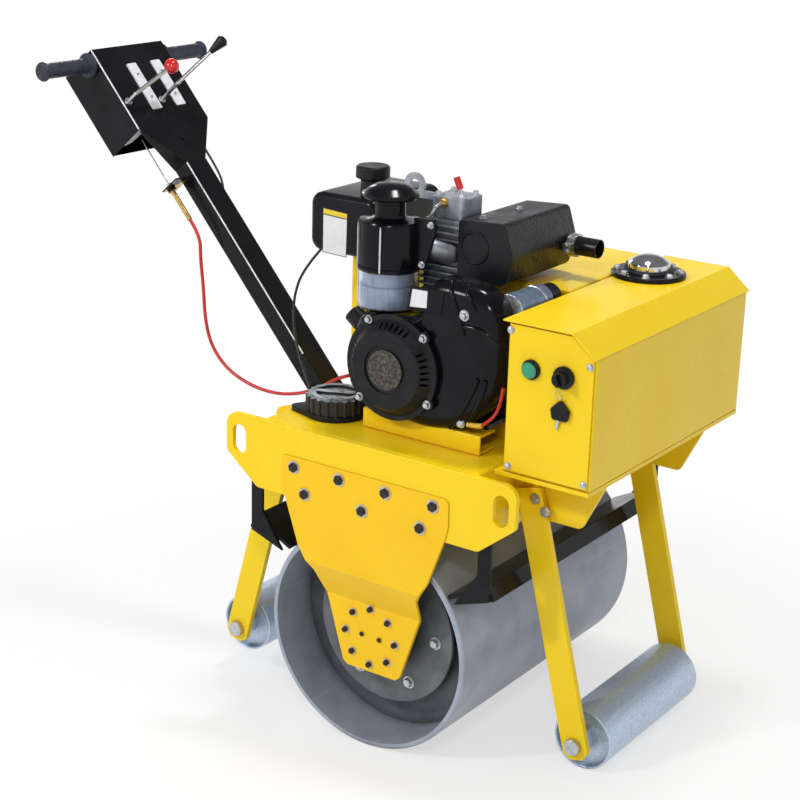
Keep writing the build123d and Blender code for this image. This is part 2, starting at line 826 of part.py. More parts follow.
def cooling_shroud():
    """Fan housing round the flywheel, with the cowl that leads air over the cylinder."""
    x, z = CRANK
    low = RAIL_TOP + 3
    step_x = AIR_CLEANER_PLACE[0] + BOWL_DIAMETER / 2 + COWL_BOWL_GAP
    step_z = BOWL_BOTTOM - COWL_BOWL_GAP
    cowl = outline(
        [
            (x - FAN_DIAMETER / 2 + 12, low),
            (COWL_END - 50, low),
            (COWL_END, low + 60),
            (COWL_END, COWL_TOP - 42),
            (COWL_END - 50, COWL_TOP),
            (step_x, COWL_TOP),
            (step_x, step_z),
            (x - FAN_DIAMETER / 2 + 4, step_z),
        ],
        [20, 30, 30, 28, 28, 12, 8, 40],
    )
    body = standing(cowl, COWL_FACE, COWL_BACK)
    fan = FAN_DIAMETER / 2
    front, back = COWL_FACE - MOVING_CLEARANCE, RAIL_NEAR - 1
    body += turned_y([(0, back), (fan, back), (fan, front + 4), (fan - 4, front), (0, front)], x, z)
    notch = BOWL_DIAMETER / 2 + SEAT_CLEARANCE * 5
    bowl_x, bowl_y = AIR_CLEANER_PLACE
    return body - rod(notch, (bowl_x, bowl_y, BOWL_BOTTOM - notch / 20), (bowl_x, bowl_y, COWL_TOP))


def recoil_starter():
    """Recoil starter cover with a plain round centre, louvred round its side, on four bolt ears."""
    x, z = CRANK
    back = COWL_FACE - MOVING_CLEARANCE
    step = back - RECOIL_FLANGE_THICKNESS
    flange, dome = RECOIL_FLANGE_DIAMETER / 2, RECOIL_DOME_DIAMETER / 2
    face, badge = RECOIL_FACE_DIAMETER / 2, RECOIL_BADGE_DIAMETER / 2
    floor = RECOIL_FACE + RECOIL_BADGE_DEPTH
    body = turned_y(
        [
            (0, back),
            (flange, back),
            (flange, step),
            (dome, step),
            (face, RECOIL_FACE),
            (badge, RECOIL_FACE),
            (badge, floor),
            (0, floor),
        ],
        x,
        z,
    )
    for angle in RECOIL_EAR_ANGLES:
        ear_x = x + RECOIL_EAR_CIRCLE / 2 * cos(radians(angle))
        ear_z = z + RECOIL_EAR_CIRCLE / 2 * sin(radians(angle))
        body += rod(RECOIL_EAR_DIAMETER / 2, (ear_x, back, ear_z), (ear_x, step, ear_z))
    length = dome - badge
    height = step - RECOIL_FACE - 2 * LOUVRE_EDGE
    louvre = Pos(badge + LOUVRE_EDGE, (step + RECOIL_FACE) / 2, 0) * Box(
        length, height, LOUVRE_WIDTH, align=(Align.MIN, Align.CENTER, Align.CENTER)
    )
    louvre = Pos(face - badge - LOUVRE_EDGE, 0, 0) * louvre
    for group in LOUVRE_GROUPS:
        for number in range(LOUVRES_IN_GROUP):
            turn = group + (number - (LOUVRES_IN_GROUP - 1) / 2) * LOUVRE_PITCH
            body -= Pos(x, 0, z) * Rot(0, -turn, 0) * louvre
    return body


def cylinder_head():
    """Finned barrel and head with its rocker cover, and the exhaust port's stub."""
    head = block((HEAD_START, HEAD_END), (HEAD_NEAR, HEAD_FAR), (HEAD_BOTTOM, HEAD_TOP))
    top = fillet(
        block((HEAD_START + 6, HEAD_END - 4), (HEAD_NEAR + 6, HEAD_FAR - 6), (HEAD_TOP, ROCKER_TOP))
        .edges()
        .filter_by(Axis.Z),
        10,
    )
    head += top
    level = CRANKCASE_TOP + FIN_PITCH / 2
    fin_x, fin_y = (HEAD_START - FIN_REACH, HEAD_END - 2), (HEAD_NEAR - FIN_REACH, HEAD_FAR)
    while level < HEAD_TOP - FIN_THICKNESS:
        head += block(fin_x, fin_y, (level, level + FIN_THICKNESS))
        level += FIN_PITCH
    port_z = (MUFFLER_BOTTOM + MUFFLER_TOP) / 2
    port_y = (HEAD_NEAR + HEAD_FAR) / 2
    port = rod(PORT_DIAMETER / 2, (HEAD_END - 1, port_y, port_z), (MUFFLER_START, port_y, port_z))
    return head + port + lifting_eye()


def lifting_eye():
    """Pressed lifting eye: a ring on a flat strap from the rocker cover."""
    x, y, z = EYE_PLACE
    front = y - EYE_THICKNESS
    low = z - EYE_DIAMETER / 2
    disc = rod(EYE_DIAMETER / 2, (x, front, z), (x, y, z))
    strap = block((x, HEAD_START + EYE_DIAMETER / 2), (front, y), (low, low + EYE_STRAP))
    return disc + strap - rod(EYE_BORE / 2, (x, front - 1, z), (x, y + 1, z))


def tank_form(inset):
    """The fuel tank's rounded form, drawn in by an inset all round."""
    form = block(
        (FUEL_TANK_START + inset, FUEL_TANK_END - inset),
        (FUEL_TANK_NEAR + inset, FUEL_TANK_FAR - inset),
        (FUEL_TANK_BOTTOM + inset, FUEL_TANK_TOP - inset),
    )
    form = fillet(form.edges().filter_by(Axis.Y), FUEL_TANK_ROUNDING - inset)
    return fillet(form.faces().filter_by(Axis.Y).edges(), FUEL_TANK_END_ROUNDING - inset)


def fuel_tank():
    """Pressed-steel fuel tank behind the cylinder head, on a strap from the head."""
    body = tank_form(0) - tank_form(FUEL_TANK_WALL)
    low = FUEL_TANK_BOTTOM + FUEL_TANK_ROUNDING
    strap_x = (FUEL_TANK_END - FUEL_TANK_WALL, HEAD_START - FIN_REACH)
    strap = block(strap_x, (HEAD_FAR - FUEL_STRAP_WIDTH, HEAD_FAR), (low, low + FUEL_STRAP_WIDTH))
    return body + strap


def fuel_cap():
    """Ribbed fuel cap on its neck."""
    neck, radius = FUEL_CAP_DIAMETER / 2 - 9, FUEL_CAP_DIAMETER / 2
    skirt = FUEL_CAP_TOP - 26
    return turned_z(
        [
            (0, FUEL_TANK_TOP),
            (neck, FUEL_TANK_TOP),
            (neck, skirt),
            (radius, skirt + 4),
            (radius, FUEL_CAP_TOP - 3),
            (radius - 3, FUEL_CAP_TOP),
            (0, FUEL_CAP_TOP),
        ],
        *FUEL_CAP_PLACE,
    )


def air_cleaner():
    """Oil-bath air cleaner: drum, shoulder, ribbed neck and rain lid, with its intake elbow."""
    radius, low = AIR_CLEANER_DIAMETER / 2, AIR_CLEANER_BOTTOM
    neck, lid = AIR_CLEANER_NECK / 2, AIR_CLEANER_LID / 2
    shoulder = AIR_CLEANER_TOP - 46
    can = turned_z(
        [
            (0, low),
            (radius + 4, low),
            (radius + 4, low + 7),
            (radius, low + 9),
            (radius, shoulder),
            (radius - 6, shoulder + 10),
            (radius - 24, shoulder + 18),
            (neck, shoulder + 20),
            (neck, shoulder + 32),
            (lid - 4, shoulder + 34),
            (lid, shoulder + 37),
            (lid, shoulder + 41),
            (lid - 5, shoulder + 43),
            (neck, shoulder + 39),
            (neck - 6, shoulder + 46),
            (0, shoulder + 46),
        ],
        *AIR_CLEANER_PLACE,
    )
    x, y = AIR_CLEANER_PLACE[0] + INTAKE_OFFSET, AIR_CLEANER_PLACE[1]
    seat = HEAD_NEAR - FIN_REACH - SEAT_CLEARANCE
    return can + rod(INTAKE_DIAMETER / 2, (x, y, INTAKE_Z), (x, seat, INTAKE_Z))


def air_cleaner_bowl():
    """Clear oil bowl under the air cleaner."""
    radius = BOWL_DIAMETER / 2
    return turned_z(
        [
            (0, AIR_CLEANER_BOTTOM),
            (radius, AIR_CLEANER_BOTTOM),
            (radius, BOWL_BOTTOM + 18),
            (radius - 5, BOWL_BOTTOM + 5),
            (radius - 14, BOWL_BOTTOM),
            (0, BOWL_BOTTOM),
        ],
        *AIR_CLEANER_PLACE,
    )


def muffler_face():
    """The muffler's end outline, bulged towards the front."""
    x0, x1, z0, z1 = MUFFLER_START, MUFFLER_END, MUFFLER_BOTTOM, MUFFLER_TOP
    return outline(
        [(x0, z0), (x1 - 14, z0), (x1, (z0 + z1) / 2), (x1 - 18, z1), (x0, z1 - 6)], [14, 16, 30, 10, 8]
    )


def muffler():
    """Sheet steel muffler lying across the machine."""
    face = muffler_face()
    inside = offset(face, amount=-MUFFLER_WALL)
    body = standing(face, MUFFLER_NEAR, MUFFLER_FAR)
    body -= standing(inside, MUFFLER_NEAR + MUFFLER_WALL, MUFFLER_FAR - MUFFLER_WALL)
    crest, foot = MUFFLER_NEAR - MUFFLER_BEAD, MUFFLER_NEAR
    inner, outer = MUFFLER_RING / 2 - 2 * MUFFLER_BEAD, MUFFLER_RING / 2
    bead = [(inner, foot), (outer, foot), (outer - 1, crest), (inner + 1, crest)]
    return body + turned_y(bead, *MUFFLER_RING_PLACE)


def exhaust_tip():
    """Tail pipe out of the muffler's front side, with its clamp."""
    y, z = EXHAUST_PLACE
    radius = EXHAUST_DIAMETER / 2
    start, end = MUFFLER_END - radius, MUFFLER_END + EXHAUST_REACH
    pipe = rod(radius, (start, y, z), (end, y, z)) - standing(muffler_face(), MUFFLER_NEAR, MUFFLER_FAR)
    clamp_start = MUFFLER_END + 2 * MUFFLER_BEAD
    clamp_end = clamp_start + CLAMP_WIDTH
    pipe += rod(radius + CLAMP_BAND, (clamp_start, y, z), (clamp_end, y, z))
    lug_near = y - radius - CLAMP_LUG
    pipe += block((clamp_start, clamp_end), (lug_near, y), (z - CLAMP_LUG / 2, z + CLAMP_LUG / 2))
    return pipe - rod(radius - 2, (clamp_end, y, z), (end + 1, y, z))


def starter_motor():
    """Electric starter behind the cowl: motor barrel and nose."""
    x, z = STARTER_PLACE
    radius = STARTER_DIAMETER / 2
    end = COWL_BACK + STARTER_LENGTH
    return turned_y(
        [
            (0, COWL_BACK),
            (radius + 2, COWL_BACK),
            (radius + 2, COWL_BACK + 20),
            (radius, COWL_BACK + 22),
            (radius, end - 40),
            (radius - 5, end - 36),
            (radius - 5, end - 4),
            (radius - 9, end),
            (0, end),
        ],
        x,
        z,
    )


def oil_filler():
    """Screwed plug on the end of the crankcase's oil filler neck."""
    _, start, end = oil_neck()
    return rod(OIL_FILLER_DIAMETER / 2, start, end)


def decompression_lever():
    """Decompression lever with its grip, on the rocker cover."""
    foot = Vector(HEAD_END - 14, HEAD_NEAR + 20, ROCKER_TOP)
    boss = foot + Vector(0, 0, LEVER_BOSS_HEIGHT)
    run = Vector(-DECOMPRESSION_LEAN, 0, 1).normalized()
    root = foot + Vector(0, 0, LEVER_BOSS_HEIGHT / 2)
    grip = root + run * (DECOMPRESSION_REACH - DECOMPRESSION_GRIP)
    tip = root + run * DECOMPRESSION_REACH
    stem = rod(3, root, grip + run * DECOMPRESSION_GRIP / 2)
    return rod(7, foot, boss) + stem + rod(6, grip, tip)


# Handle
LEAN = 90 - HANDLE_SLOPE
ARM_FRONT = ARM_DEPTH / 2


def leaned(shape):
    """A handle piece, drawn upright on the pivot, put at the handle's slope."""
    return Pos(HANDLE_PIVOT[0], 0, HANDLE_PIVOT[1]) * Rot(0, -LEAN, 0) * shape


def handle_point(x, y, z):
    """The machine's place of a point given in the handle's upright frame."""
    lean = radians(LEAN)
    return (
        HANDLE_PIVOT[0] + x * cos(lean) - z * sin(lean),
        y,
        HANDLE_PIVOT[1] + x * sin(lean) + z * cos(lean),
    )


def handle_bracket():
    """Two pivot cheeks on the deck's rear wall, with the pivot bolt through them."""
    px, pz = HANDLE_PIVOT
    wall = -DECK_LENGTH / 2
    inner = ARM_WIDTH / 2 + PIVOT_CHEEK_GAP
    outer = inner + PIVOT_CHEEK
    corners = [(wall, pz - 40), (wall, pz + 50), (px - 20, pz + 20), (px - 20, pz - 24)]
    cheek = outline(corners, [0, 0, 18, 18])
    body = standing(cheek, -outer, -inner) + standing(cheek, inner, outer)
    pad = block((wall - PIVOT_PAD, wall), (-outer, outer), (pz - 39, pz + 45))
    bolt, nut = PIVOT_DIAMETER / 2, PIVOT_NUT_DIAMETER / 2
    end = outer + PIVOT_NUT_HEIGHT
    pin = rod(bolt, (px, -outer, pz), (px, outer, pz))
    nuts = rod(nut, (px, -end, pz), (px, -outer, pz)) + rod(nut, (px, outer, pz), (px, end, pz))
    return body + pad + pin + nuts


def arm_form():
    """The arm's outer form, upright and unbored."""
    half_depth, half_width = ARM_DEPTH / 2, ARM_WIDTH / 2
    form = block((-half_depth, half_depth), (-half_width, half_width), (-ARM_FOOT, ARM_TOP))
    return fillet(form.edges().filter_by(Axis.Z), ARM_WALL + 1)


def handle_arm():
    """Rectangular tube arm, bored for the pivot bolt at its foot."""
    half_depth, half_width = ARM_DEPTH / 2, ARM_WIDTH / 2
    tube = arm_form() - block(
        (-half_depth + ARM_WALL, half_depth - ARM_WALL),
        (-half_width + ARM_WALL, half_width - ARM_WALL),
        (-ARM_FOOT - 1, ARM_TOP + 1),
    )
    bore = PIVOT_DIAMETER / 2 + RUNNING_CLEARANCE
    tube += rod(bore + ARM_WALL + 1, (0, -half_width, 0), (0, half_width, 0))
    return leaned(tube - rod(bore, (0, -half_width - 1, 0), (0, half_width + 1, 0)))


def control_head():
    """Folded control head, open at the back, on a neck that tapers to the arm."""
    width = HEAD_WIDTH / 2
    back = ARM_FRONT - HEAD_DEPTH
    box = block((back, ARM_FRONT), (-width, width), (HEAD_BASE, HEAD_REACH))
    box -= block(
        (back - 1, ARM_FRONT - HEAD_WALL),
        (-width + HEAD_WALL, width - HEAD_WALL),
        (HEAD_BASE - 1, HEAD_REACH - HEAD_WALL),
    )
    low = Pos(0, 0, ARM_TOP) * Rectangle(ARM_DEPTH, ARM_WIDTH)
    high = Pos(ARM_FRONT - HEAD_WALL / 2, 0, HEAD_BASE) * Rectangle(HEAD_WALL, HEAD_WIDTH)
    return leaned(box + loft([low, high]))


def handle_grips():
    """Rubber grip at each side of the head, with a collar at its root and a rim at its end."""
    root, end = HEAD_WIDTH / 2, GRIP_REACH
    radius, collar = GRIP_DIAMETER / 2, GRIP_COLLAR_DIAMETER / 2
    near = turned_y(
        [
            (0, -end),
            (radius + 1, -end),
            (radius + 4, -end + 3),
            (radius + 4, -end + 7),
            (radius, -end + 9),
            (radius, -root - 9),
            (collar, -root - 6),
            (collar, -root),
            (0, -root),
        ],
        ARM_FRONT - GRIP_DROP,
        HEAD_REACH - GRIP_INSET,
    )
    return leaned(both_sides(near))


def slot_plates():
    """Two bright guide plates on the front of the control head, each with its rivet holes."""
    plates = []
    for y in SLOT_PLATE_SIDES:
        z = HEAD_REACH - SLOT_PLATE_INSET - SLOT_PLATE_LENGTH / 2
        plate = RectangleRounded(SLOT_PLATE_WIDTH, SLOT_PLATE_LENGTH, SLOT_PLATE_CORNER)
        for side in (-1, 1):
            plate -= Pos(0, side * SLOT_PLATE_LENGTH / 4) * Circle(SLOT_PLATE_CORNER)
        plates += (Pos(ARM_FRONT, y, z) * (Plane.YZ * extrude(plate, amount=SLOT_PLATE_THICKNESS))).solids()
    return leaned(Compound(plates))


def bent_lever(place, elbow_height, tip):
    """A lever that stands straight out of the head and then bends over to its knob."""
    foot = Vector(ARM_FRONT, *place)
    elbow = foot + Vector(elbow_height, 0, 0)
    radius = LEVER_DIAMETER / 2
    boss = rod(2 * radius, foot, foot + Vector(LEVER_BOSS_HEIGHT, 0, 0))
    return boss + rod(radius, foot, elbow) + rod(radius, elbow, tip) + Pos(*elbow) * Sphere(radius)


def ball_lever():
    """Bent lever with a ball knob over the near guide plate."""
    tip = Vector(ARM_FRONT + BALL_LEVER_REACH, *BALL_PLACE)
    lever = bent_lever(BALL_LEVER_FOOT, BALL_LEVER_ELBOW, tip)
    return leaned(lever + Pos(*tip) * Sphere(BALL_DIAMETER / 2))


def cone_lever():
    """Longer bent lever with a cone knob, leaning out over the far guide plate."""
    neck = Vector(ARM_FRONT + CONE_LEVER_REACH, *CONE_PLACE)
    elbow = Vector(ARM_FRONT + CONE_LEVER_ELBOW, *CONE_LEVER_FOOT)
    wide, rounding = CONE_KNOB_DIAMETER / 2, CONE_KNOB_DIAMETER / 4
    plane = Plane(origin=neck, z_dir=neck - elbow)
    shoulder = plane.offset(CONE_KNOB_LENGTH - rounding) * Circle(wide)
    knob = loft([plane * Circle(LEVER_DIAMETER / 2 + 1), shoulder])
    cap = loft([shoulder, plane.offset(CONE_KNOB_LENGTH) * Circle(wide - rounding)])
    return leaned(bent_lever(CONE_LEVER_FOOT, CONE_LEVER_ELBOW, neck) + knob + cap)


def cable_adjuster():
    """Tab on the arm's near side, with the adjuster that holds the red cable's end."""
    z = CABLE_TAB_REACH
    x = -ARM_FRONT - 5
    tab = block((x - 12, 10), (CABLE_SIDE - 14, -ARM_WIDTH / 2), (z - 3, z))
    barrel = rod(5, (x, CABLE_SIDE, z - 78), (x, CABLE_SIDE, z + 8))
    nut = rod(9, (x, CABLE_SIDE, z - 11), (x, CABLE_SIDE, z - 3))
    return leaned(tab + barrel + nut)


# Cables
def cable(points, diameter):
    """A cable along straight runs joined by arcs as large as the runs allow."""
    points = [Vector(*p) for p in points]
    radii = []
    for before, corner, after in zip(points, points[1:], points[2:]):
        turn = radians((corner - before).get_angle(after - corner))
        shorter = min((corner - before).length, (after - corner).length)
        radii.append(0.45 * shorter / tan(turn / 2))
    path = FilletPolyline(*points, radius=radii)
    section = Plane(origin=path @ 0, z_dir=path % 0) * Circle(diameter / 2)
    tube = sweep(section, path=path)
    ratio = tube.volume / (pi * diameter**2 / 4 * path.length)
    print(f"cable {path.length:.0f} mm, radii {[round(r) for r in radii]}, volume ratio {ratio:.4f}")
    return tube


def pull_wire():
    """Bare wire from the control head down to the adjuster."""
    x = -ARM_FRONT - 5
    return cable(
        [
            handle_point(x + 2, CABLE_SIDE, HEAD_BASE + 30),
            handle_point(x, CABLE_SIDE - 1, HEAD_BASE - 20),
            handle_point(x, CABLE_SIDE, CABLE_TAB_REACH + 8 + SEAT_CLEARANCE),
        ],
        WIRE_DIAMETER,
    )


RED_END = (GUARD_START + 6, GUARD_NEAR - 10, DECK_TOP + 20)


def red_cable():
    """Red cable hanging from the adjuster, round to the belt guard's corner."""
    x = -ARM_FRONT - 5
    end = CABLE_TAB_REACH - 78 - SEAT_CLEARANCE
    return cable(
        [
            handle_point(x, CABLE_SIDE, end),
            handle_point(x, CABLE_SIDE, end - 40),
            (-597, CABLE_SIDE, 780),
            (-589, CABLE_SIDE, 715),
            (-586, CABLE_SIDE, 655),
            (-570, CABLE_SIDE, 600),
            (-527, CABLE_SIDE, 558),
            (-466, CABLE_SIDE, 537),
            (-405, CABLE_SIDE, 533),
            (-345, CABLE_SIDE, 545),
            (-290, CABLE_SIDE, 570),
            (-255, CABLE_SIDE + 1, 596),
            RED_END,
        ],
        CABLE_DIAMETER,
    )


def side_cable():
    """Thin cable from the head's far side into the arm."""
    half = ARM_WIDTH / 2
    return cable(
        [
            handle_point(-8, 66, HEAD_BASE + 10),
            handle_point(-12, 64, HEAD_BASE - 40),
            handle_point(-8, 60, HEAD_BASE - 95),
            handle_point(-4, 48, HEAD_BASE - 145),
            handle_point(0, half - ARM_WALL / 2, HEAD_BASE - 182),
        ],
        THIN_CABLE_DIAMETER,
    ) - leaned(arm_form())


GLAND_PLACE = (-222, -183)
GLAND_DIAMETER = 18
GLAND_NUT_HEIGHT = 6
GLAND_TOP = DECK_TOP + TETHER_THICKNESS


def throttle_cable():
    """Throttle cable from its gland on the deck up to the fuel tank's bracket."""
    return cable(
        [
            (*GLAND_PLACE, GLAND_TOP),
            (*GLAND_PLACE, GLAND_TOP + 18),
            (-240, -176, 636),
            (-268, -164, 675),
            (-290, -150, 720),
            (-296, -140, 772),
            (-281, -131, 822),
            (FUEL_TANK_START + 16, -124, FUEL_TANK_BOTTOM),
        ],
        THIN_CABLE_DIAMETER,
    )


def throttle_gland():
    """Threaded gland on the deck that the throttle cable comes out of."""
    nut, stem, step = GLAND_DIAMETER / 2, THIN_CABLE_DIAMETER, DECK_TOP + GLAND_NUT_HEIGHT
    profile = [(0, DECK_TOP), (nut, DECK_TOP), (nut, step), (stem, step), (stem, GLAND_TOP), (0, GLAND_TOP)]
    return turned_z(profile, *GLAND_PLACE)


# Every piece, by the body that it moves with
chassis = {
    "deck": deck(),
    "side_plate_near": side_plate(),
    "side_plate_far": far_side(side_plate()),
    "drum_bracket_near": drum_bracket(),
    "drum_bracket_far": far_side(drum_bracket()),
    "bearing_housings": bearing_housings(),
    "leg_front_near": leg(),
    "leg_front_far": far_side(leg()),
    "leg_rear_near": rear_end(leg()),
    "leg_rear_far": rear_end(far_side(leg())),
    "leg_gussets": leg_gussets(),
    "roller_axles": roller_axles(),
    "scraper_front": scraper(),
    "scraper_rear": rear_end(scraper()),
    "engine_rails": engine_rails(),
    "belt_guard": belt_guard(),
    "tank_base": tank_base(),
    "front_tank": front_tank(),
    "tank_cover": tank_cover(),
    "control_panel": control_panel(),
    "start_button": start_button(),
    "key_switch": key_switch(),
    "key_fob": key_fob(),
    "filler_flange": filler_flange(),
    "filler_cap": filler_cap(),
    "water_cap": water_cap(),
    "cap_tether": cap_tether(),
    "crankcase": crankcase(),
    "cooling_shroud": cooling_shroud(),
    "recoil_starter": recoil_starter(),
    "cylinder_head": cylinder_head(),
    "fuel_tank": fuel_tank(),
    "fuel_cap": fuel_cap(),
    "air_cleaner": air_cleaner(),
    "air_cleaner_bowl": air_cleaner_bowl(),
    "muffler": muffler(),
    "exhaust_tip": exhaust_tip(),
    "starter_motor": starter_motor(),
    "oil_filler": oil_filler(),
    "decompression_lever": decompression_lever(),
    "handle_bracket": handle_bracket(),
    "throttle_cable": throttle_cable(),
    "throttle_gland": throttle_gland(),
}
handle = {
    "handle_arm": handle_arm(),
    "control_head": control_head(),
    "handle_grips": handle_grips(),
    "slot_plates": slot_plates(),
    "ball_lever": ball_lever(),
    "cone_lever": cone_lever(),
    "cable_adjuster": cable_adjuster(),
    "pull_wire": pull_wire(),
    "red_cable": red_cable(),
    "side_cable": side_cable(),
}
drum = {
    "drum_shell": drum_shell(),
    "drum_bulkheads": drum_bulkheads(),
    "damper_disc_near": damper_disc(),
    "damper_disc_far": far_side(damper_disc()),
    "drum_buffers": drum_buffers(),
}
rollers = {
    "roller_front": roller(),
    "roller_rear": rear_end(roller()),
}

# Parked pose: the machine tips about the drum until the front roller stands on the ground
ROLLER_DROP = DRUM_DIAMETER / 2 - ROLLER_DIAMETER / 2
ROLLER_ABOVE = AXLE_HEIGHT - ROLLER_CENTRE[1]
ROLLER_ARM = hypot(ROLLER_CENTRE[0], ROLLER_ABOVE)
PARK_TILT = degrees(asin(ROLLER_DROP / ROLLER_ARM) - atan2(ROLLER_ABOVE, ROLLER_CENTRE[0]))


def tipped(shape):
    """A piece turned nose down about the drum's axle."""
    return Pos(0, 0, AXLE_HEIGHT) * Rot(0, PARK_TILT, 0) * Pos(0, 0, -AXLE_HEIGHT) * shape


nodes = {name: tipped(shape) for name, shape in {**chassis, **handle, **drum, **rollers}.items()}
box = Compound([solid for shape in nodes.values() for solid in shape.solids()]).bounding_box()
SHIFT = (-(box.min.X + box.max.X) / 2, -(box.min.Y + box.max.Y) / 2, -box.min.Z)

os.makedirs("parts", exist_ok=True)
for name, shape in nodes.items():
    export_step(Pos(*SHIFT) * shape, f"parts/{name}.step")
print(f"tilt {PARK_TILT:.3f} degrees, shift {SHIFT}, size {box.size}")
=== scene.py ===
import json
from math import atan2, cos, pi, radians, sin, sqrt

import bmesh
import bpy
from mathutils import Matrix, Vector

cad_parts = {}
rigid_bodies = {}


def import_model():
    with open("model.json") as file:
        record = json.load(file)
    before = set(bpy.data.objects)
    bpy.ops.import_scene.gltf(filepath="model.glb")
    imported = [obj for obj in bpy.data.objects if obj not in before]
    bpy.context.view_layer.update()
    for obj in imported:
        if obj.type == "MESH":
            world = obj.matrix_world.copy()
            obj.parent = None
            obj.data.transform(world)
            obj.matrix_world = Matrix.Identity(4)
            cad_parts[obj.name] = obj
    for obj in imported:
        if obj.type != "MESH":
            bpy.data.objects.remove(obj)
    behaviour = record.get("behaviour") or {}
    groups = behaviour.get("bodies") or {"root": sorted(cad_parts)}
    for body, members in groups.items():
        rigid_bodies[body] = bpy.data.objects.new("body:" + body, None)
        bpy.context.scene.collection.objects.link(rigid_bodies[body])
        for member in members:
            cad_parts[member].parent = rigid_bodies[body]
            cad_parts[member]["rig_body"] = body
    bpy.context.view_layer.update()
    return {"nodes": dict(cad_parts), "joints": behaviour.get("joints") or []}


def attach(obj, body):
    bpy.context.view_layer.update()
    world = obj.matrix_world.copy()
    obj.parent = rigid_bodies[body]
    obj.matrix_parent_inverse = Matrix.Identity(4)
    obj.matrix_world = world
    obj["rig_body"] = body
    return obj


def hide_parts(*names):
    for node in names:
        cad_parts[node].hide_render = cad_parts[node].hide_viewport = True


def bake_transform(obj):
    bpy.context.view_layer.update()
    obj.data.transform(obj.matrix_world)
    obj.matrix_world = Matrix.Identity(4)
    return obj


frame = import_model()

# The machine stands parked, nose down on its front roller. Its own level frame has the ground
# point under the drum's axle as origin, in millimetres, with +X away from the operator.
drum_radius, roller_ahead, roller_below = 213, 384, 130
joint_places = {joint["name"]: Vector(joint["pos_m"]) for joint in frame["joints"]}
axle = joint_places["drum_spin"]
to_roller = joint_places["front_roller_spin"] - axle
park_tilt = atan2(-to_roller.z, to_roller.x) - atan2(roller_below, roller_ahead)
tilt = Matrix.Rotation(park_tilt, 4, "Y")
to_metres = Matrix.Scale(0.001, 4)
machine = Matrix.Translation(axle) @ tilt @ to_metres @ Matrix.Translation((0, 0, -drum_radius))

# The handle has an upright frame of its own, on its pivot bolt, leaned back towards the operator.
pivot_bolt, lean_back = (-275, 0, 492), radians(-41.3)
handle = machine @ Matrix.Translation(pivot_bolt) @ Matrix.Rotation(lean_back, 4, "Y")

# Camera, where the photograph was taken from, with its three directions in the level frame
camera_place = (1729.06, -2714.59, 1659.99)
to_right = Vector((0.81723139, 0.57564139, 0.02774605))
to_top = Vector((-0.20371743, 0.24350876, 0.94826299))
to_back = Vector((0.53910302, -0.78060263, 0.31627118))
aim = Matrix((to_right, to_top, to_back)).transposed().to_4x4()
camera = bpy.data.objects.new("camera", bpy.data.cameras.new("camera"))
bpy.context.scene.collection.objects.link(camera)
camera.matrix_world = Matrix.Translation(machine @ Vector(camera_place)) @ tilt @ aim
camera.data.lens = 81.54
camera.data.sensor_width = 36
camera.data.clip_end = 100
bpy.context.scene.camera = camera


# Cables. A bare pull wire runs from the control head to its adjuster, a red plastic sleeve goes
# on from there to the guard's corner, a thin black cable goes into the arm, the throttle cable
# climbs from its gland on the deck to the fuel tank, and a red lead leaves the cowl's foot.
def link(name, data):
    """A new object in the scene, at the origin."""
    piece = bpy.data.objects.new(name, data)
    bpy.context.scene.collection.objects.link(piece)
    return piece


def mesh_of(piece):
    """The piece's final mesh, with its modifiers or its curve's bevel applied."""
    return bpy.data.meshes.new_from_object(piece.evaluated_get(bpy.context.evaluated_depsgraph_get()))


def routed(points, base=machine):
    """Places in millimetres as places in the scene."""
    return [base @ Vector(point) for point in points]


def tube(name, points, diameter, material, ring=4):
    """A round tube along one smooth spline through control points, in metres, and its line."""
    curve = bpy.data.curves.new(name, "CURVE")
    curve.dimensions = "3D"
    curve.resolution_u = 10
    run = curve.splines.new("NURBS")
    run.points.add(len(points) - 1)
    for control, point in zip(run.points, points):
        control.co = (*point, 1)
    run.order_u = 3
    run.use_endpoint_u = True
    guide = link(name + "_guide", curve)
    line = [vertex.co.copy() for vertex in mesh_of(guide).vertices]
    curve.bevel_depth = diameter / 2
    curve.bevel_resolution = ring
    curve.use_fill_caps = True
    mesh = mesh_of(guide)
    bpy.data.objects.remove(guide)
    for polygon in mesh.polygons:
        polygon.use_smooth = True
    mesh.materials.clear()
    mesh.materials.append(material)
    return link(name, mesh), line


def noise_of(nodes, links, place, scale, detail=4.0, rough=0.55):
    """Cloudy noise between 0 and 1."""
    noise = nodes.new("ShaderNodeTexNoise")
    noise.inputs["Scale"].default_value = scale
    noise.inputs["Detail"].default_value = detail
    noise.inputs["Roughness"].default_value = rough
    links.new(place, noise.inputs["Vector"])
    return noise.outputs["Fac"]


def eased(nodes, links, value, low, high, to_low=0.0, to_high=1.0):
    """A value's stretch from low to high, eased into two other numbers."""
    span = nodes.new("ShaderNodeMapRange")
    span.interpolation_type = "SMOOTHSTEP"
    for socket, number in zip(("From Min", "From Max", "To Min", "To Max"), (low, high, to_low, to_high)):
        span.inputs[socket].default_value = number
    links.new(value, span.inputs["Value"])
    return span.outputs["Result"]


def mixed(nodes, links, amount, first, second):
    """Two colours mixed by an amount. Each is a socket or three numbers."""
    mix = nodes.new("ShaderNodeMix")
    mix.data_type = "RGBA"
    links.new(amount, mix.inputs["Factor"])
    for socket, colour in zip(("A", "B"), (first, second)):
        target = [i for i in mix.inputs if i.name == socket and i.type == "RGBA"][0]
        if isinstance(colour, bpy.types.NodeSocket):
            links.new(colour, target)
        else:
            target.default_value = (*colour, 1)
    return [o for o in mix.outputs if o.type == "RGBA"][0]


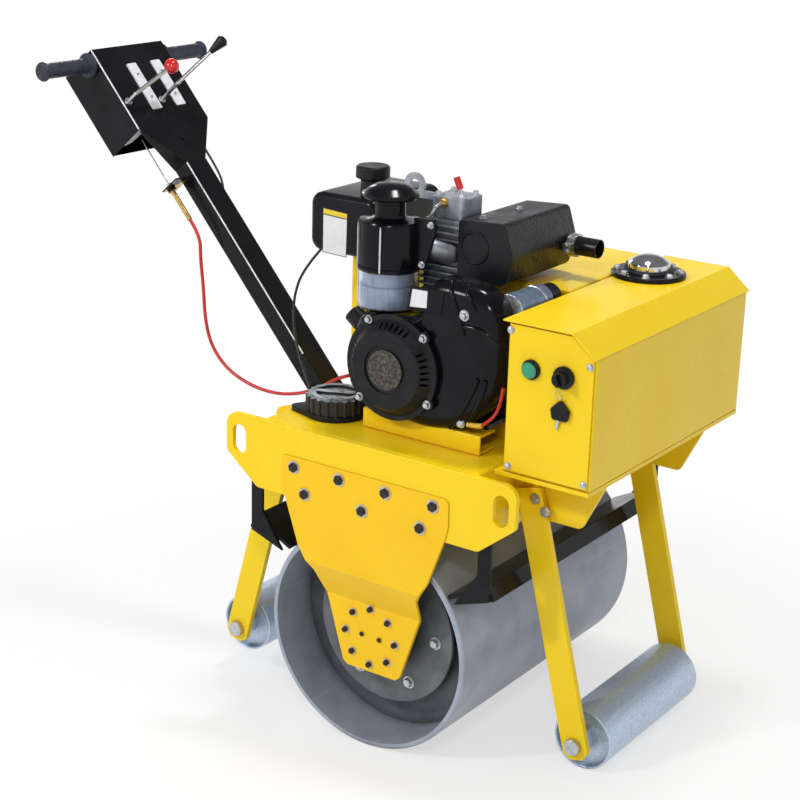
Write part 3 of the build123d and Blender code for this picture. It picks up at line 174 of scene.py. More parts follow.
def product(nodes, links, first, second):
    """Two values multiplied. The second is a socket or a number."""
    times = nodes.new("ShaderNodeMath")
    times.operation = "MULTIPLY"
    links.new(first, times.inputs[0])
    if isinstance(second, bpy.types.NodeSocket):
        links.new(second, times.inputs[1])
    else:
        times.inputs[1].default_value = second
    return times.outputs[0]


def finish(name, colour, second, grain=40.0, gloss=(0.3, 0.45), metallic=0.0, bump=0.0, fine=900.0,
           specular=0.5, coat=0.0, share=(0.35, 0.75), corner_shade=None, streaks=None, dust=None, cells=False):
    """A surface finish: two colours clouded together, with uneven gloss and a fine relief.

    share is where the second colour starts and is full. streaks are a scale along each axis, a
    colour and where they start and are full. dust is a colour and its amount. corner_shade is painted
    shade: a colour, its reach out of the corners in metres and its amount. cells make the relief from round
    cells.
    """
    material = bpy.data.materials.new(name)
    material.use_nodes = True
    nodes, links = material.node_tree.nodes, material.node_tree.links
    shader = nodes["Principled BSDF"]
    shader.inputs["Metallic"].default_value = metallic
    shader.inputs["Specular IOR Level"].default_value = specular
    shader.inputs["Coat Weight"].default_value = coat
    shader.inputs["Coat Roughness"].default_value = 0.08
    coordinates = nodes.new("ShaderNodeTexCoord")
    place = coordinates.outputs["Object"]
    clouds = eased(nodes, links, noise_of(nodes, links, place, grain), *share)
    tint = mixed(nodes, links, clouds, colour, second)
    if streaks:
        scale, streak_colour, low, high = streaks
        stretched = nodes.new("ShaderNodeMapping")
        stretched.inputs["Scale"].default_value = scale
        links.new(place, stretched.inputs["Vector"])
        lines = noise_of(nodes, links, stretched.outputs["Vector"], 1.0, 6.0, 0.7)
        tint = mixed(nodes, links, eased(nodes, links, lines, low, high), tint, streak_colour)
    if dust:
        dust_colour, amount = dust
        split = nodes.new("ShaderNodeSeparateXYZ")
        links.new(coordinates.outputs["Normal"], split.inputs[0])
        upward = eased(nodes, links, split.outputs["Z"], 0.45, 0.95, 0.0, amount)
        patches = eased(nodes, links, noise_of(nodes, links, place, 90, 5.0, 0.6), 0.25, 0.65)
        tint = mixed(nodes, links, product(nodes, links, upward, patches), tint, dust_colour)
    # Painted shade: an ambient occlusion mask mixes a darker colour into the corners and creases.
    if corner_shade:
        corner_shade_colour, reach, amount = corner_shade
        shade = nodes.new("ShaderNodeAmbientOcclusion")
        shade.samples = 8
        shade.inputs["Distance"].default_value = reach
        corners = eased(nodes, links, shade.outputs["AO"], 0.35, 0.95, amount, 0.0)
        tint = mixed(nodes, links, corners, tint, corner_shade_colour)
    links.new(tint, shader.inputs["Base Color"])
    wear = noise_of(nodes, links, place, grain * 0.6, 6.0, 0.65)
    links.new(eased(nodes, links, wear, 0.3, 0.7, *gloss), shader.inputs["Roughness"])
    if bump:
        relief = nodes.new("ShaderNodeBump")
        relief.inputs["Strength"].default_value = 0.6
        relief.inputs["Distance"].default_value = bump
        if cells:
            pits = nodes.new("ShaderNodeTexVoronoi")
            pits.inputs["Scale"].default_value = fine
            links.new(place, pits.inputs["Vector"])
            links.new(pits.outputs["Distance"], relief.inputs["Height"])
        else:
            links.new(noise_of(nodes, links, place, fine, 2.0), relief.inputs["Height"])
        links.new(relief.outputs["Normal"], shader.inputs["Normal"])
    return material


wire_steel = finish("wire_steel", (0.6, 0.6, 0.58), (0.35, 0.35, 0.35), 300, (0.25, 0.45), metallic=1.0)
red_sleeve = finish("red_sleeve", (0.6, 0.03, 0.02), (0.42, 0.02, 0.015), 60, bump=0.00003)
black_sleeve = finish("black_sleeve", (0.008, 0.008, 0.009), (0.016, 0.016, 0.018), 60, (0.3, 0.5),
                      bump=0.00003)

wire_points = routed(((-23, -60, 720), (-25, -61, 670), (-25, -60, 585.3)), handle)
pull_wire, wire_line = tube("pull_wire_cord", wire_points, 0.003, wire_steel)
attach(pull_wire, "handle")
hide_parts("pull_wire")

red_points = routed(((-25, -60, 498.7), (-25, -60, 458.7)), handle) + routed((
    (-597, -60, 780), (-589, -60, 715), (-586, -60, 655), (-570, -60, 600), (-527, -60, 558),
    (-466, -60, 537), (-405, -60, 533), (-345, -60, 545), (-290, -60, 570), (-255, -59, 596),
    (-226, -58, 607),
))
red_cable, red_line = tube("red_cable_cord", red_points, 0.007, red_sleeve)
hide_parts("red_cable")
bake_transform(red_cable)

side_points = routed(((-2, 74, 700), (-6, 72, 650), (-2, 68, 595), (2, 56, 545), (0, 28.5, 508)), handle)
side_cable, side_line = tube("side_cable_cord", side_points, 0.005, black_sleeve)
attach(side_cable, "handle")
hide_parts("side_cable")

throttle_points = routed((
    (-222, -183, 597), (-222, -183, 615), (-240, -176, 636), (-268, -164, 675),
    (-290, -150, 720), (-296, -140, 772), (-281, -131, 822), (-246, -124, 864),
))
throttle_cable, throttle_line = tube("throttle_cable_cord", throttle_points, 0.005, black_sleeve)
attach(throttle_cable, "chassis")
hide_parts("throttle_cable")

battery_points = routed((
    (187, -236, 646), (201, -236, 656), (214, -234, 672), (220, -230, 692), (221, -226, 718),
))
battery_lead, battery_line = tube("battery_lead_cord", battery_points, 0.006, red_sleeve)
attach(battery_lead, "chassis")


# Studio: a pale floor that fades to white but keeps the machine's shadow, a pale sky that darkens
# overhead in reflections, and small bright lamps that draw crisp highlights on the enamel.
def seen_directly(nodes, links):
    """1 for camera, glossy and transmission rays, and 0 for light bounced off as diffuse."""
    paths = nodes.new("ShaderNodeLightPath")
    seen = paths.outputs["Is Camera Ray"]
    for other in ("Is Glossy Ray", "Is Transmission Ray"):
        either = nodes.new("ShaderNodeMath")
        either.operation = "MAXIMUM"
        links.new(seen, either.inputs[0])
        links.new(paths.outputs[other], either.inputs[1])
        seen = either.outputs[0]
    return seen


reach = 30
floor_mesh = bpy.data.meshes.new("floor")
floor_mesh.from_pydata([(-reach, -reach, 0), (reach, -reach, 0), (reach, reach, 0), (-reach, reach, 0)],
                       [], [(0, 1, 2, 3)])
floor = link("floor", floor_mesh)
floor_white = bpy.data.materials.new("floor_white")
floor_white.use_nodes = True
nodes, links = floor_white.node_tree.nodes, floor_white.node_tree.links
nodes.remove(nodes["Principled BSDF"])
diffuse = nodes.new("ShaderNodeBsdfDiffuse")
diffuse.inputs["Color"].default_value = (0.9, 0.9, 0.9, 1)
glow = nodes.new("ShaderNodeEmission")
where = nodes.new("ShaderNodeNewGeometry")
distance = nodes.new("ShaderNodeVectorMath")
distance.operation = "LENGTH"
links.new(where.outputs["Position"], distance.inputs[0])
fade = eased(nodes, links, distance.outputs["Value"], 0.4, 1.5, 0.6, 1.0)
floor_mix = nodes.new("ShaderNodeMixShader")
links.new(product(nodes, links, fade, seen_directly(nodes, links)), floor_mix.inputs[0])
links.new(diffuse.outputs[0], floor_mix.inputs[1])
links.new(glow.outputs[0], floor_mix.inputs[2])
links.new(floor_mix.outputs[0], nodes["Material Output"].inputs["Surface"])
floor_mesh.materials.append(floor_white)

lit_strength, low_sky, high_sky = 0.5, 1.0, 0.22
world = bpy.data.worlds.new("studio")
bpy.context.scene.world = world
world.use_nodes = True
nodes, links = world.node_tree.nodes, world.node_tree.links
sky = nodes.new("ShaderNodeTexCoord")
height = nodes.new("ShaderNodeSeparateXYZ")
links.new(sky.outputs["Generated"], height.inputs[0])
strength = nodes.new("ShaderNodeMix")
strength.inputs[2].default_value = lit_strength
links.new(seen_directly(nodes, links), strength.inputs[0])
links.new(eased(nodes, links, height.outputs["Z"], 0.12, 0.5, low_sky, high_sky), strength.inputs[3])
links.new(strength.outputs[0], nodes["Background"].inputs["Strength"])
nodes["Background"].inputs["Color"].default_value = (0.98, 0.985, 1.0, 1)

lit_point = Vector((0, 0, 0.5))
for name, place, size, power in (
    ("key_lamp", (-1.3, -2.9, 2.7), 0.4, 52),
    ("front_lamp", (1.9, -2.7, 2.5), 0.3, 22),
    ("top_lamp", (0.5, 0.2, 3.1), 0.4, 30),
    ("back_lamp", (-2.2, 1.8, 2.2), 0.6, 8),
):
    lamp = bpy.data.lights.new(name, "AREA")
    lamp.energy = power
    lamp.shape = "DISK"
    lamp.size = size
    aimed = (lit_point - Vector(place)).to_track_quat("-Z", "Y").to_matrix().to_4x4()
    link(name, lamp).matrix_world = Matrix.Translation(place) @ aimed


# Yellow sheet steel: deck and water tank, side plates, legs, gussets, engine rails, belt guard,
# and the front tank with its base, cover and end panel. Cut, folded and welded plate, sprayed
# with thick glossy enamel that lies a little uneven, with an orange painted shade in the corners.
def smoothed(piece, material, angle=35.0):
    """Smooth shading with sharp folds, and one finish all over."""
    mesh = piece.data
    for polygon in mesh.polygons:
        polygon.use_smooth = True
    mesh.set_sharp_from_angle(angle=radians(angle))
    mesh.materials.clear()
    mesh.materials.append(material)
    return piece


def round_edges(piece, width, segments=2, angle=35.0):
    """A live bevel on the folds, its width in millimetres."""
    if width:
        bevel = piece.modifiers.new("rounding", "BEVEL")
        bevel.width = width / 1000
        bevel.segments = segments
        bevel.limit_method = "ANGLE"
        bevel.angle_limit = radians(angle)
        bevel.harden_normals = True
        bevel.use_clamp_overlap = True


def dress(node, material, rounding=0.0, segments=2):
    """A CAD node's own mesh as a piece, merged, with softened edges and a finish."""
    source = frame["nodes"][node]
    mesh = source.data.copy()
    mesh.name = node
    if "custom_normal" in mesh.attributes:
        mesh.attributes.remove(mesh.attributes["custom_normal"])
    form = bmesh.new()
    form.from_mesh(mesh)
    bmesh.ops.remove_doubles(form, verts=form.verts, dist=0.00002)
    bmesh.ops.dissolve_limit(form, angle_limit=radians(1.0), verts=form.verts, edges=form.edges)
    form.to_mesh(mesh)
    form.free()
    piece = smoothed(link(node + "_skin", mesh), material)
    round_edges(piece, rounding, segments)
    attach(piece, source["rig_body"])
    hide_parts(node)
    return piece


# The orange colour given for the corners is painted shade.
yellow = finish("yellow_enamel", (0.91, 0.64, 0.009), (0.88, 0.61, 0.008), 7, (0.24, 0.38), bump=0.00004,
                fine=240, specular=0.25, coat=0.05, corner_shade=((0.6, 0.29, 0.004), 0.035, 0.6))
for node, rounding in {
    "deck": 5, "side_plate_near": 1.5, "side_plate_far": 1.5, "leg_front_near": 1.2,
    "leg_front_far": 1.2, "leg_rear_near": 1.2, "leg_rear_far": 1.2, "leg_gussets": 1,
    "engine_rails": 3, "belt_guard": 5, "tank_base": 1, "front_tank": 2.5, "tank_cover": 0.8,
    "control_panel": 0.8,
}.items():
    dress(node, yellow, rounding)


# Drum brackets: one cut plate on each side, bolted to the side plate and bent in twice to reach
# the drum's bearing, in the same yellow, painted warmer and more orange as painted shade.
def settle(name, form, material, body="chassis", rounding=0.0, angle=35.0):
    """A closed form as a finished piece that rides on a body."""
    bmesh.ops.remove_doubles(form, verts=form.verts, dist=0.000005)
    bmesh.ops.recalc_face_normals(form, faces=form.faces)
    mesh = bpy.data.meshes.new(name)
    form.to_mesh(mesh)
    form.free()
    piece = smoothed(link(name, mesh), material, angle)
    round_edges(piece, rounding, angle=angle)
    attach(piece, body)
    return piece


def joined(form, rings):
    """Rings of as many corners each, joined into one closed form with flat ends."""
    for low, high in zip(rings, rings[1:]):
        for k in range(len(low)):
            after = (k + 1) % len(low)
            form.faces.new((low[k], low[after], high[after], high[k]))
    form.faces.new(rings[0])
    form.faces.new(rings[-1])


def half_width(outline, z):
    """An outline's half width at a height, along its straight edges."""
    for (upper_x, upper_z), (lower_x, lower_z) in zip(outline, outline[1:]):
        if lower_z <= z <= upper_z:
            return upper_x + (lower_x - upper_x) * (upper_z - z) / (upper_z - lower_z)


# Painted shade: a more orange copy of the yellow for the brackets, with a painted shade in their corners as
# well.
shaded_bracket_yellow = finish("shaded_bracket_yellow", (0.92, 0.57, 0.008), (0.88, 0.53, 0.007), 7, (0.26, 0.4),
                        bump=0.00004, fine=240, specular=0.25, corner_shade=((0.6, 0.25, 0.004), 0.03, 0.6))
bracket_half = (
    (172, 533), (180, 527), (181, 484), (177, 464), (142, 366), (113, 322), (106, 280), (64, 146),
    (54, 138),
)
bend_top, bend_bottom, bend_lean = 340, 271, 3.5
upper_face, lower_face, bracket_plate = 319, 280, 8
for side, end in ((-1, "near"), (1, "far")):
    form = bmesh.new()
    rows = []
    for z in sorted({z for x, z in bracket_half} | {bend_top, bend_bottom}):
        x = half_width(bracket_half, z)
        bent = min(1, max(0, (bend_top - z) / (bend_top - bend_bottom)))
        outer = upper_face - (upper_face - lower_face) * bent
        inner = outer - bracket_plate
        inner_z = z - bend_lean if bend_bottom <= z <= bend_top else z
        corners = ((-x, outer, z), (x, outer, z), (x, inner, inner_z), (-x, inner, inner_z))
        rows.append([form.verts.new(machine @ Vector((cx, side * cy, cz))) for cx, cy, cz in corners])
    joined(form, rows)
    bracket = settle(f"bracket_plate_{end}", form, shaded_bracket_yellow, rounding=1.5, angle=20)
    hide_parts(f"drum_bracket_{end}")


# Frame bolts. Those through the drum brackets and bearings are blued steel on pale washers, and
# those through the legs are zinc-plated. Each stands at its own turn, as it was tightened.
def fixing_tree():
    """Chamfered heads on washers, one at each point, standing out along its own direction."""
    tree = bpy.data.node_groups.new("fixings", "GeometryNodeTree")
    sockets, nodes, links = tree.interface, tree.nodes, tree.links
    sockets.new_socket("Geometry", in_out="INPUT", socket_type="NodeSocketGeometry")
    for label, kind in (
        ("Sides", "Int"), ("Corner", "Float"), ("Crown", "Float"), ("Height", "Float"),
        ("Washer", "Float"), ("Washer Height", "Float"), ("Seed", "Int"),
        ("Head Finish", "Material"), ("Washer Finish", "Material"),
    ):
        sockets.new_socket(label, in_out="INPUT", socket_type="NodeSocket" + kind)
    sockets.new_socket("Geometry", in_out="OUTPUT", socket_type="NodeSocketGeometry")
    given = nodes.new("NodeGroupInput").outputs

    def make(kind, settings=(), **values):
        node = nodes.new(kind)
        for setting, value in settings:
            setattr(node, setting, value)
        for label, value in values.items():
            socket = node.inputs[label.replace("_", " ")]
            if isinstance(value, bpy.types.NodeSocket):
                links.new(value, socket)
            else:
                socket.default_value = value
        return node

    def risen(geometry, height):
        up = make("ShaderNodeCombineXYZ", Z=height)
        return make("GeometryNodeTransform", Geometry=geometry, Translation=up.outputs[0]).outputs[0]

    def together(*parts):
        node = nodes.new("GeometryNodeJoinGeometry")
        for part in parts:
            links.new(part, node.inputs[0])
        return node.outputs[0]

    # The head is a flat outline raised in two steps, the upper one drawn in as a chamfer.
    shank_share = 0.75
    foot = make("GeometryNodeMeshCircle", [("fill_type", "NGON")], Vertices=given["Sides"],
                Radius=given["Corner"]).outputs[0]
    shank = make("GeometryNodeExtrudeMesh", Mesh=foot, Individual=False,
                 Offset_Scale=product(nodes, links, given["Height"], shank_share)).outputs
    crown = make("GeometryNodeExtrudeMesh", Mesh=shank[0], Selection=shank[1], Individual=False,
                 Offset_Scale=product(nodes, links, given["Height"], 1 - shank_share)).outputs
    chamfer = make("GeometryNodeScaleElements", Geometry=crown[0], Selection=crown[1],
                   Scale=given["Crown"]).outputs[0]
    underside = make("GeometryNodeFlipFaces", Mesh=foot).outputs[0]
    closed = make("GeometryNodeMergeByDistance", Geometry=together(chamfer, underside),
                  Distance=0.000001).outputs[0]
    head = risen(closed, given["Washer Height"])

    # The washer lies under it, marked so that it can take its own finish.
    disc = make("GeometryNodeMeshCylinder", Vertices=28, Radius=given["Washer"],
                Depth=given["Washer Height"]).outputs["Mesh"]
    washer = make("GeometryNodeStoreNamedAttribute", [("data_type", "BOOLEAN"), ("domain", "FACE")],
                  Name="washer", Value=True,
                  Geometry=risen(disc, product(nodes, links, given["Washer Height"], 0.5))).outputs[0]

    # Each one stands along its point's "out" direction, turned about it at random.
    outward = make("GeometryNodeInputNamedAttribute", [("data_type", "FLOAT_VECTOR")], Name="out")
    stand = make("FunctionNodeAlignRotationToVector", [("axis", "Z")], Vector=outward.outputs[0])
    angle = make("FunctionNodeRandomValue", [("data_type", "FLOAT")], Seed=given["Seed"])
    low, high = [s for s in angle.inputs if s.name in ("Min", "Max") and s.type == "VALUE"]
    low.default_value, high.default_value = 0.0, pi
    turn = [s for s in angle.outputs if s.type == "VALUE" and s.enabled][0]
    spin = make("FunctionNodeAxisAngleToRotation", Axis=(0, 0, 1), Angle=turn)
    turned = nodes.new("FunctionNodeRotateRotation")
    turned.rotation_space = "LOCAL"
    links.new(stand.outputs[0], turned.inputs[0])
    links.new(spin.outputs[0], turned.inputs[1])
    spread = make("GeometryNodeInstanceOnPoints", Points=given["Geometry"],
                  Instance=together(head, washer), Rotation=turned.outputs[0]).outputs[0]

    real = make("GeometryNodeRealizeInstances", Geometry=spread).outputs[0]
    heads = make("GeometryNodeSetMaterial", Geometry=real, Material=given["Head Finish"]).outputs[0]
    is_washer = make("GeometryNodeInputNamedAttribute", [("data_type", "BOOLEAN")], Name="washer")
    washers = make("GeometryNodeSetMaterial", Geometry=heads, Selection=is_washer.outputs[0],
                   Material=given["Washer Finish"]).outputs[0]
    links.new(washers, nodes.new("NodeGroupOutput").inputs[0])
    return tree


fixings = fixing_tree()
hexagon, pan_head = 6, 24
washer_thickness = 0.0012


def fasten(name, places, out, width, height, washer, head_finish, washer_finish, body="chassis",
           base=machine, sides=hexagon, seed=1):
    """Bolts or screws of one size as one plain mesh, in millimetres, width across flats."""
    points = bpy.data.meshes.new(name + "_points")
    points.from_pydata(routed(places, base), [], [])
    direction = (base.to_3x3() @ Vector(out)).normalized()
    for item in points.attributes.new("out", "FLOAT_VECTOR", "POINT").data:
        item.vector = direction
    maker = link(name + "_maker", points)
    modifier = maker.modifiers.new("fixings", "NODES")
    modifier.node_group = fixings
    flat = width / 2000
    values = {
        "Sides": sides, "Corner": flat * 2 / sqrt(3) if sides == hexagon else flat,
        "Crown": 0.87 if sides == hexagon else 0.72, "Height": height / 1000, "Washer": washer / 2000,
        "Washer Height": washer_thickness, "Seed": seed, "Head Finish": head_finish,
        "Washer Finish": washer_finish,
    }
    for socket in fixings.interface.items_tree:
        if socket.in_out == "INPUT" and socket.name in values:
            modifier[socket.identifier] = values[socket.name]
    mesh = mesh_of(maker)
    bpy.data.objects.remove(maker)
    for polygon in mesh.polygons:
        polygon.use_smooth = True
    mesh.set_sharp_from_angle(angle=radians(30))
    piece = link(name, mesh)
    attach(piece, body)
    return piece


def round_about(middle, radius, count, first=0.0):
    """Flat places evenly spaced on a circle, from a first angle in degrees."""
    turns = [radians(first + 360 / count * k) for k in range(count)]
    return [(middle[0] + radius * cos(a), middle[1] + radius * sin(a)) for a in turns]


blued_steel = finish("blued_steel", (0.03, 0.022, 0.02), (0.06, 0.045, 0.04), 300, (0.3, 0.5), metallic=0.7)
washer_zinc = finish("washer_zinc", (0.66, 0.6, 0.52), (0.5, 0.46, 0.42), 200, (0.3, 0.5), metallic=0.6)
bright_zinc = finish("bright_zinc", (0.58, 0.6, 0.62), (0.4, 0.42, 0.44), 120, (0.22, 0.4), metallic=0.9)
top_row, second_row, leg_face = 514, 468, 199
bearing_middle, bearing_circle = (-3, 209), 55
for side, end in ((-1, "near"), (1, "far")):
    upper = [(x, side * upper_face, top_row) for x in (-152, -51, 49, 149)]
    upper += [(x, side * upper_face, second_row) for x in (-127, 0, 124)]
    fasten(f"bracket_bolts_{end}", upper, (0, side, 0), 16, 5.6, 25, blued_steel, washer_zinc,
           seed=3)
    lower = [(x, side * lower_face, z) for x, z in round_about(bearing_middle, bearing_circle, 8)]
    fasten(f"bearing_bolts_{end}", lower, (0, side, 0), 10, 6, 16, blued_steel, washer_zinc,
           seed=5)
    plugs = [(-21, side * lower_face, 210), (18, side * lower_face, 209)]
    fasten(f"bearing_plugs_{end}", plugs, (0, side, 0), 9, 2.5, 12, blued_steel, yellow,
           sides=20)
    feet = [(x, side * leg_face, z) for x, z in ((300, 505), (279, 524), (-283, 520), (-268, 500))]
    fasten(f"leg_bolts_{end}", feet, (0, side, 0), 13, 6, 20, bright_zinc, bright_zinc, seed=7)


# Drum: rolled steel shell with welded bulkheads, driving discs on rubber buffers and flanged
# bearing housings. Machined and primed grey, scuffed and streaked round by rolling.
# Both greys take a darker painted shade in their corners and recesses.
drum_grey = finish("drum_primer", (0.37, 0.41, 0.49), (0.29, 0.325, 0.395), 14, (0.36, 0.52), bump=0.00005,
                   fine=500, metallic=0.2, streaks=((60, 2, 60), (0.47, 0.51, 0.58), 0.55, 0.8),
                   corner_shade=((0.09, 0.1, 0.12), 0.04, 0.6))
disc_grey = finish("disc_grey", (0.15, 0.165, 0.18), (0.09, 0.1, 0.11), 22, (0.38, 0.55), bump=0.00006,
                   fine=500, metallic=0.2, corner_shade=((0.03, 0.032, 0.035), 0.05, 0.7))
dark_rubber = finish("dark_rubber", (0.012, 0.014, 0.019), (0.024, 0.027, 0.034), 50, (0.5, 0.7),
                     bump=0.00015, fine=260, specular=0.2)
dress("drum_shell", drum_grey, 1)
dress("drum_bulkheads", disc_grey, 1)
dress("damper_disc_near", disc_grey, 1.5)
dress("damper_disc_far", disc_grey, 1.5)
dress("bearing_housings", disc_grey, 2)
dress("drum_buffers", dark_rubber, 3)
disc_face, buffer_circle = 235, 110
for side, end in ((-1, "near"), (1, "far")):
    places = [(x, side * disc_face, z) for x, z in round_about((0, drum_radius), buffer_circle, 6)]
    fasten(f"buffer_bolts_{end}", places, (0, side, 0), 15, 7, 24, bright_zinc, bright_zinc,
           "drum", seed=9)


# Park rollers and their fixed axles: steel tube turning on bars that are nutted outside the legs,
# all zinc-plated, with the plating's mottled bloom.
# The zinc takes a dark painted shade in its corners.
zinc = finish("mottled_zinc", (0.58, 0.69, 0.85), (0.42, 0.51, 0.64), 240, metallic=0.5, bump=0.00004,
              fine=400, share=(0.3, 0.75), streaks=((60, 9, 60), (0.72, 0.82, 0.95), 0.5, 0.85),
              corner_shade=((0.05, 0.055, 0.06), 0.02, 0.5))
dress("roller_front", zinc, 1)
dress("roller_rear", zinc, 1)
dress("roller_axles", bright_zinc, 1.2)


# Scrapers: folded steel blades along the drum, front and rear, hung inside the side plates by a
# lug at each end and stove-enamelled black.
black = finish("black_enamel", (0.006, 0.006, 0.008), (0.01, 0.01, 0.012), 12, (0.14, 0.28), bump=0.00003,
               fine=240, specular=0.16)
dress("scraper_front", black, 1.5)
dress("scraper_rear", black, 1.5)


# Control panel: the front tank's near end, screwed on, with a green push button in a black bezel,
# a rotary switch with a raised bar, and the spare key hanging from it on a wire ring.
def refinish(piece, material, chosen, base=machine):
    """Another finish on the faces that are chosen by their centre, in millimetres."""
    mesh, to_base = piece.data, base.inverted()
    mesh.materials.append(material)
    for polygon in mesh.polygons:
        if chosen(to_base @ polygon.center):
            polygon.material_index = len(mesh.materials) - 1


def slab(name, corners, thickness, base, material, body="chassis", rounding=0.3):
    """A flat outline in millimetres, given its thickness along the frame's own Z."""
    form = bmesh.new()
    joined(form, [[form.verts.new(base @ Vector((x, y, z))) for x, y in corners] for z in (0, thickness)])
    return settle(name, form, material, body, rounding)


def facing(x, y, z, across, up):
    """A frame at a place on the machine, its own X and Y along two directions and Z out of them."""
    across, up = Vector(across).normalized(), Vector(up).normalized()
    turn = Matrix((across, up, across.cross(up))).transposed().to_4x4()
    return machine @ Matrix.Translation((x, y, z)) @ turn


def near_face(x, y, z):
    """A frame that faces the near side."""
    return facing(x, y, z, (1, 0, 0), (0, 0, 1))


def top_face(x, y, z):
    """A frame that faces up."""
    return facing(x, y, z, (1, 0, 0), (0, 1, 0))


def bar(name, points, diameter, material, body="chassis", base=machine, ring=4):
    """A round bar, wire or pipe through places in millimetres, riding on a body."""
    piece = tube(name, routed(points, base), diameter / 1000, material, ring)[0]
    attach(piece, body)


moulded_black = finish("moulded_black", (0.006, 0.006, 0.008), (0.012, 0.012, 0.015), 40, (0.28, 0.45),
                       bump=0.00008, fine=420, specular=0.22)
green_plastic = finish("green_plastic", (0.012, 0.3, 0.16), (0.01, 0.24, 0.12), 60, (0.2, 0.35), coat=0.3)
panel_face = -279
screws = [(x, panel_face, z) for x, z in ((263, 840), (413, 806), (269, 605), (414, 606))]
fasten("panel_screws", screws, (0, -1, 0), 9, 3, 13, bright_zinc, bright_zinc, sides=pan_head)
button_x, button_z, button_radius, bezel_face = 305, 781, 13.2, -285.5
button = dress("start_button", green_plastic, 0.6)
refinish(button, moulded_black,
         lambda p: p.y > bezel_face or (p.x - button_x) ** 2 + (p.z - button_z) ** 2 > button_radius ** 2)
dress("key_switch", moulded_black, 0.8)
slab("switch_bar", [(-10, -3), (10, -3), (11, 0), (10, 3), (-10, 3), (-11, 0)], 8,
     facing(367, -300, 780, (0.35, 0, -1), (1, 0, 0.35)), moulded_black, rounding=1.2)
dress("key_fob", moulded_black, 2.5)
bar("key_ring", ((366, -292, 762), (357, -290, 757), (356, -286, 748), (364, -285, 743), (371, -286, 750),
                 (368, -290, 758), (366, -292, 762)), 1.2, wire_steel)
slab("key_blade", [(-2.5, 0), (2.5, 0), (2.5, -17), (0, -21), (-2.5, -17)], 1.6,
     facing(362, -282, 710, (1, 0, 0), (0.15, 0, 1)), bright_zinc)


# Filler: a black enamelled flange bolted to the front tank's top, and a plated steel screw cap
# that closes it on a rubber gasket.
def lathe(name, profile, base, material, sides=48, angle=35.0):
    """A (radius, height) profile in millimetres turned about its own frame's Z."""
    form = bmesh.new()
    rings = []
    for radius, height in profile:
        turns = [2 * pi * k / sides for k in range(sides if radius else 1)]
        corners = [Vector((radius * cos(t), radius * sin(t), height)) for t in turns]
        rings.append([form.verts.new(base @ corner) for corner in corners])
    for low, high in zip(rings, rings[1:]):
        for k in range(sides):
            around = ((low, k), (low, k + 1), (high, k + 1), (high, k))
            corners = list(dict.fromkeys(ring[turn % len(ring)] for ring, turn in around))
            if len(corners) > 2:
                form.faces.new(corners)
    return settle(name, form, material, angle=angle)


chrome = finish("chrome", (0.66, 0.67, 0.69), (0.5, 0.51, 0.53), 90, (0.05, 0.14), metallic=1.0)
filler_middle, flange_top, flange_circle = (297, 130), 866, 56
dress("filler_flange", black, 1)
dress("filler_cap", chrome, 2, 3)
places = [(x, y, flange_top) for x, y in round_about(filler_middle, flange_circle, 8, 22.5)]
fasten("filler_bolts", places, (0, 0, 1), 10, 5, 15, bright_zinc, bright_zinc, seed=11)
lathe("filler_gasket", [(0, 0), (44, 0), (45, 1), (45, 3), (43, 4.5), (0, 4.5)],
      top_face(*filler_middle, flange_top), dark_rubber)


# Water filler: a large moulded screw cap over its tether ring, dusty on top from the road. The
# throttle cable comes up out of the deck beside it, through a plated gland.
dusty_black = finish("dusty_black", (0.01, 0.01, 0.011), (0.02, 0.02, 0.022), 40, (0.4, 0.6), bump=0.0001,
                     fine=300, dust=((0.42, 0.45, 0.49), 1.0))
dress("water_cap", dusty_black, 1.2)
dress("cap_tether", moulded_black, 2)
dress("throttle_gland", bright_zinc, 0.6)


# Crankcase and fan cowl: a casting on the engine rails, and a pressed cowl screwed to its near
# side, round-shouldered and stiffened by folds, both in glossy black.
engine_black = finish("engine_black", (0.004, 0.004, 0.006), (0.007, 0.007, 0.01), 25, (0.1, 0.22),
                      bump=0.00008, fine=200, specular=0.17)
dress("crankcase", engine_black, 3)
dress("oil_filler", moulded_black, 3)
cowl_outline = (
    (-86, 735), (-74, 690), (-45, 650), (0, 624), (60, 614), (120, 622), (172, 650), (208, 695), (223, 750),
    (223, 812), (208, 856), (178, 880), (130, 888), (88, 886), (72, 868), (64, 838), (30, 808), (-20, 799),
    (-66, 796), (-86, 775),
)
cowl_middle = Vector((70, 752))
cowl_back, shoulder_start, cowl_face, shoulder_inset = -195, -217, -245, 30

# The rim runs smoothly through the outline's corners, and the shoulder turns in from it in layers.
rim = []
for k in range(len(cowl_outline)):
    before, start, end, beyond = (Vector(cowl_outline[(k + j) % len(cowl_outline)]) for j in (-1, 0, 1, 2))
    for t in (0, 0.25, 0.5, 0.75):
        rim.append(0.5 * (2 * start + (end - before) * t
                          + (2 * before - 5 * start + 4 * end - beyond) * t * t
                          + (3 * start - before - 3 * end + beyond) * t ** 3))
shoulder_depth = cowl_face - shoulder_start
layers = [(0, cowl_back)]
for a in range(0, 91, 10):
    turn_in = shoulder_inset * (1 - cos(radians(a)))
    layers.append((turn_in, shoulder_start + shoulder_depth * sin(radians(a))))
form = bmesh.new()
rings = []
for inset, y in layers:
    arms = [point - cowl_middle for point in rim]
    corners = [cowl_middle + arm * (1 - inset / arm.length) for arm in arms]
    rings.append([form.verts.new(machine @ Vector((corner.x, y, corner.y))) for corner in corners])
joined(form, rings)
cowl = settle("fan_cowl", form, engine_black, angle=40)
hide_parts("cooling_shroud")
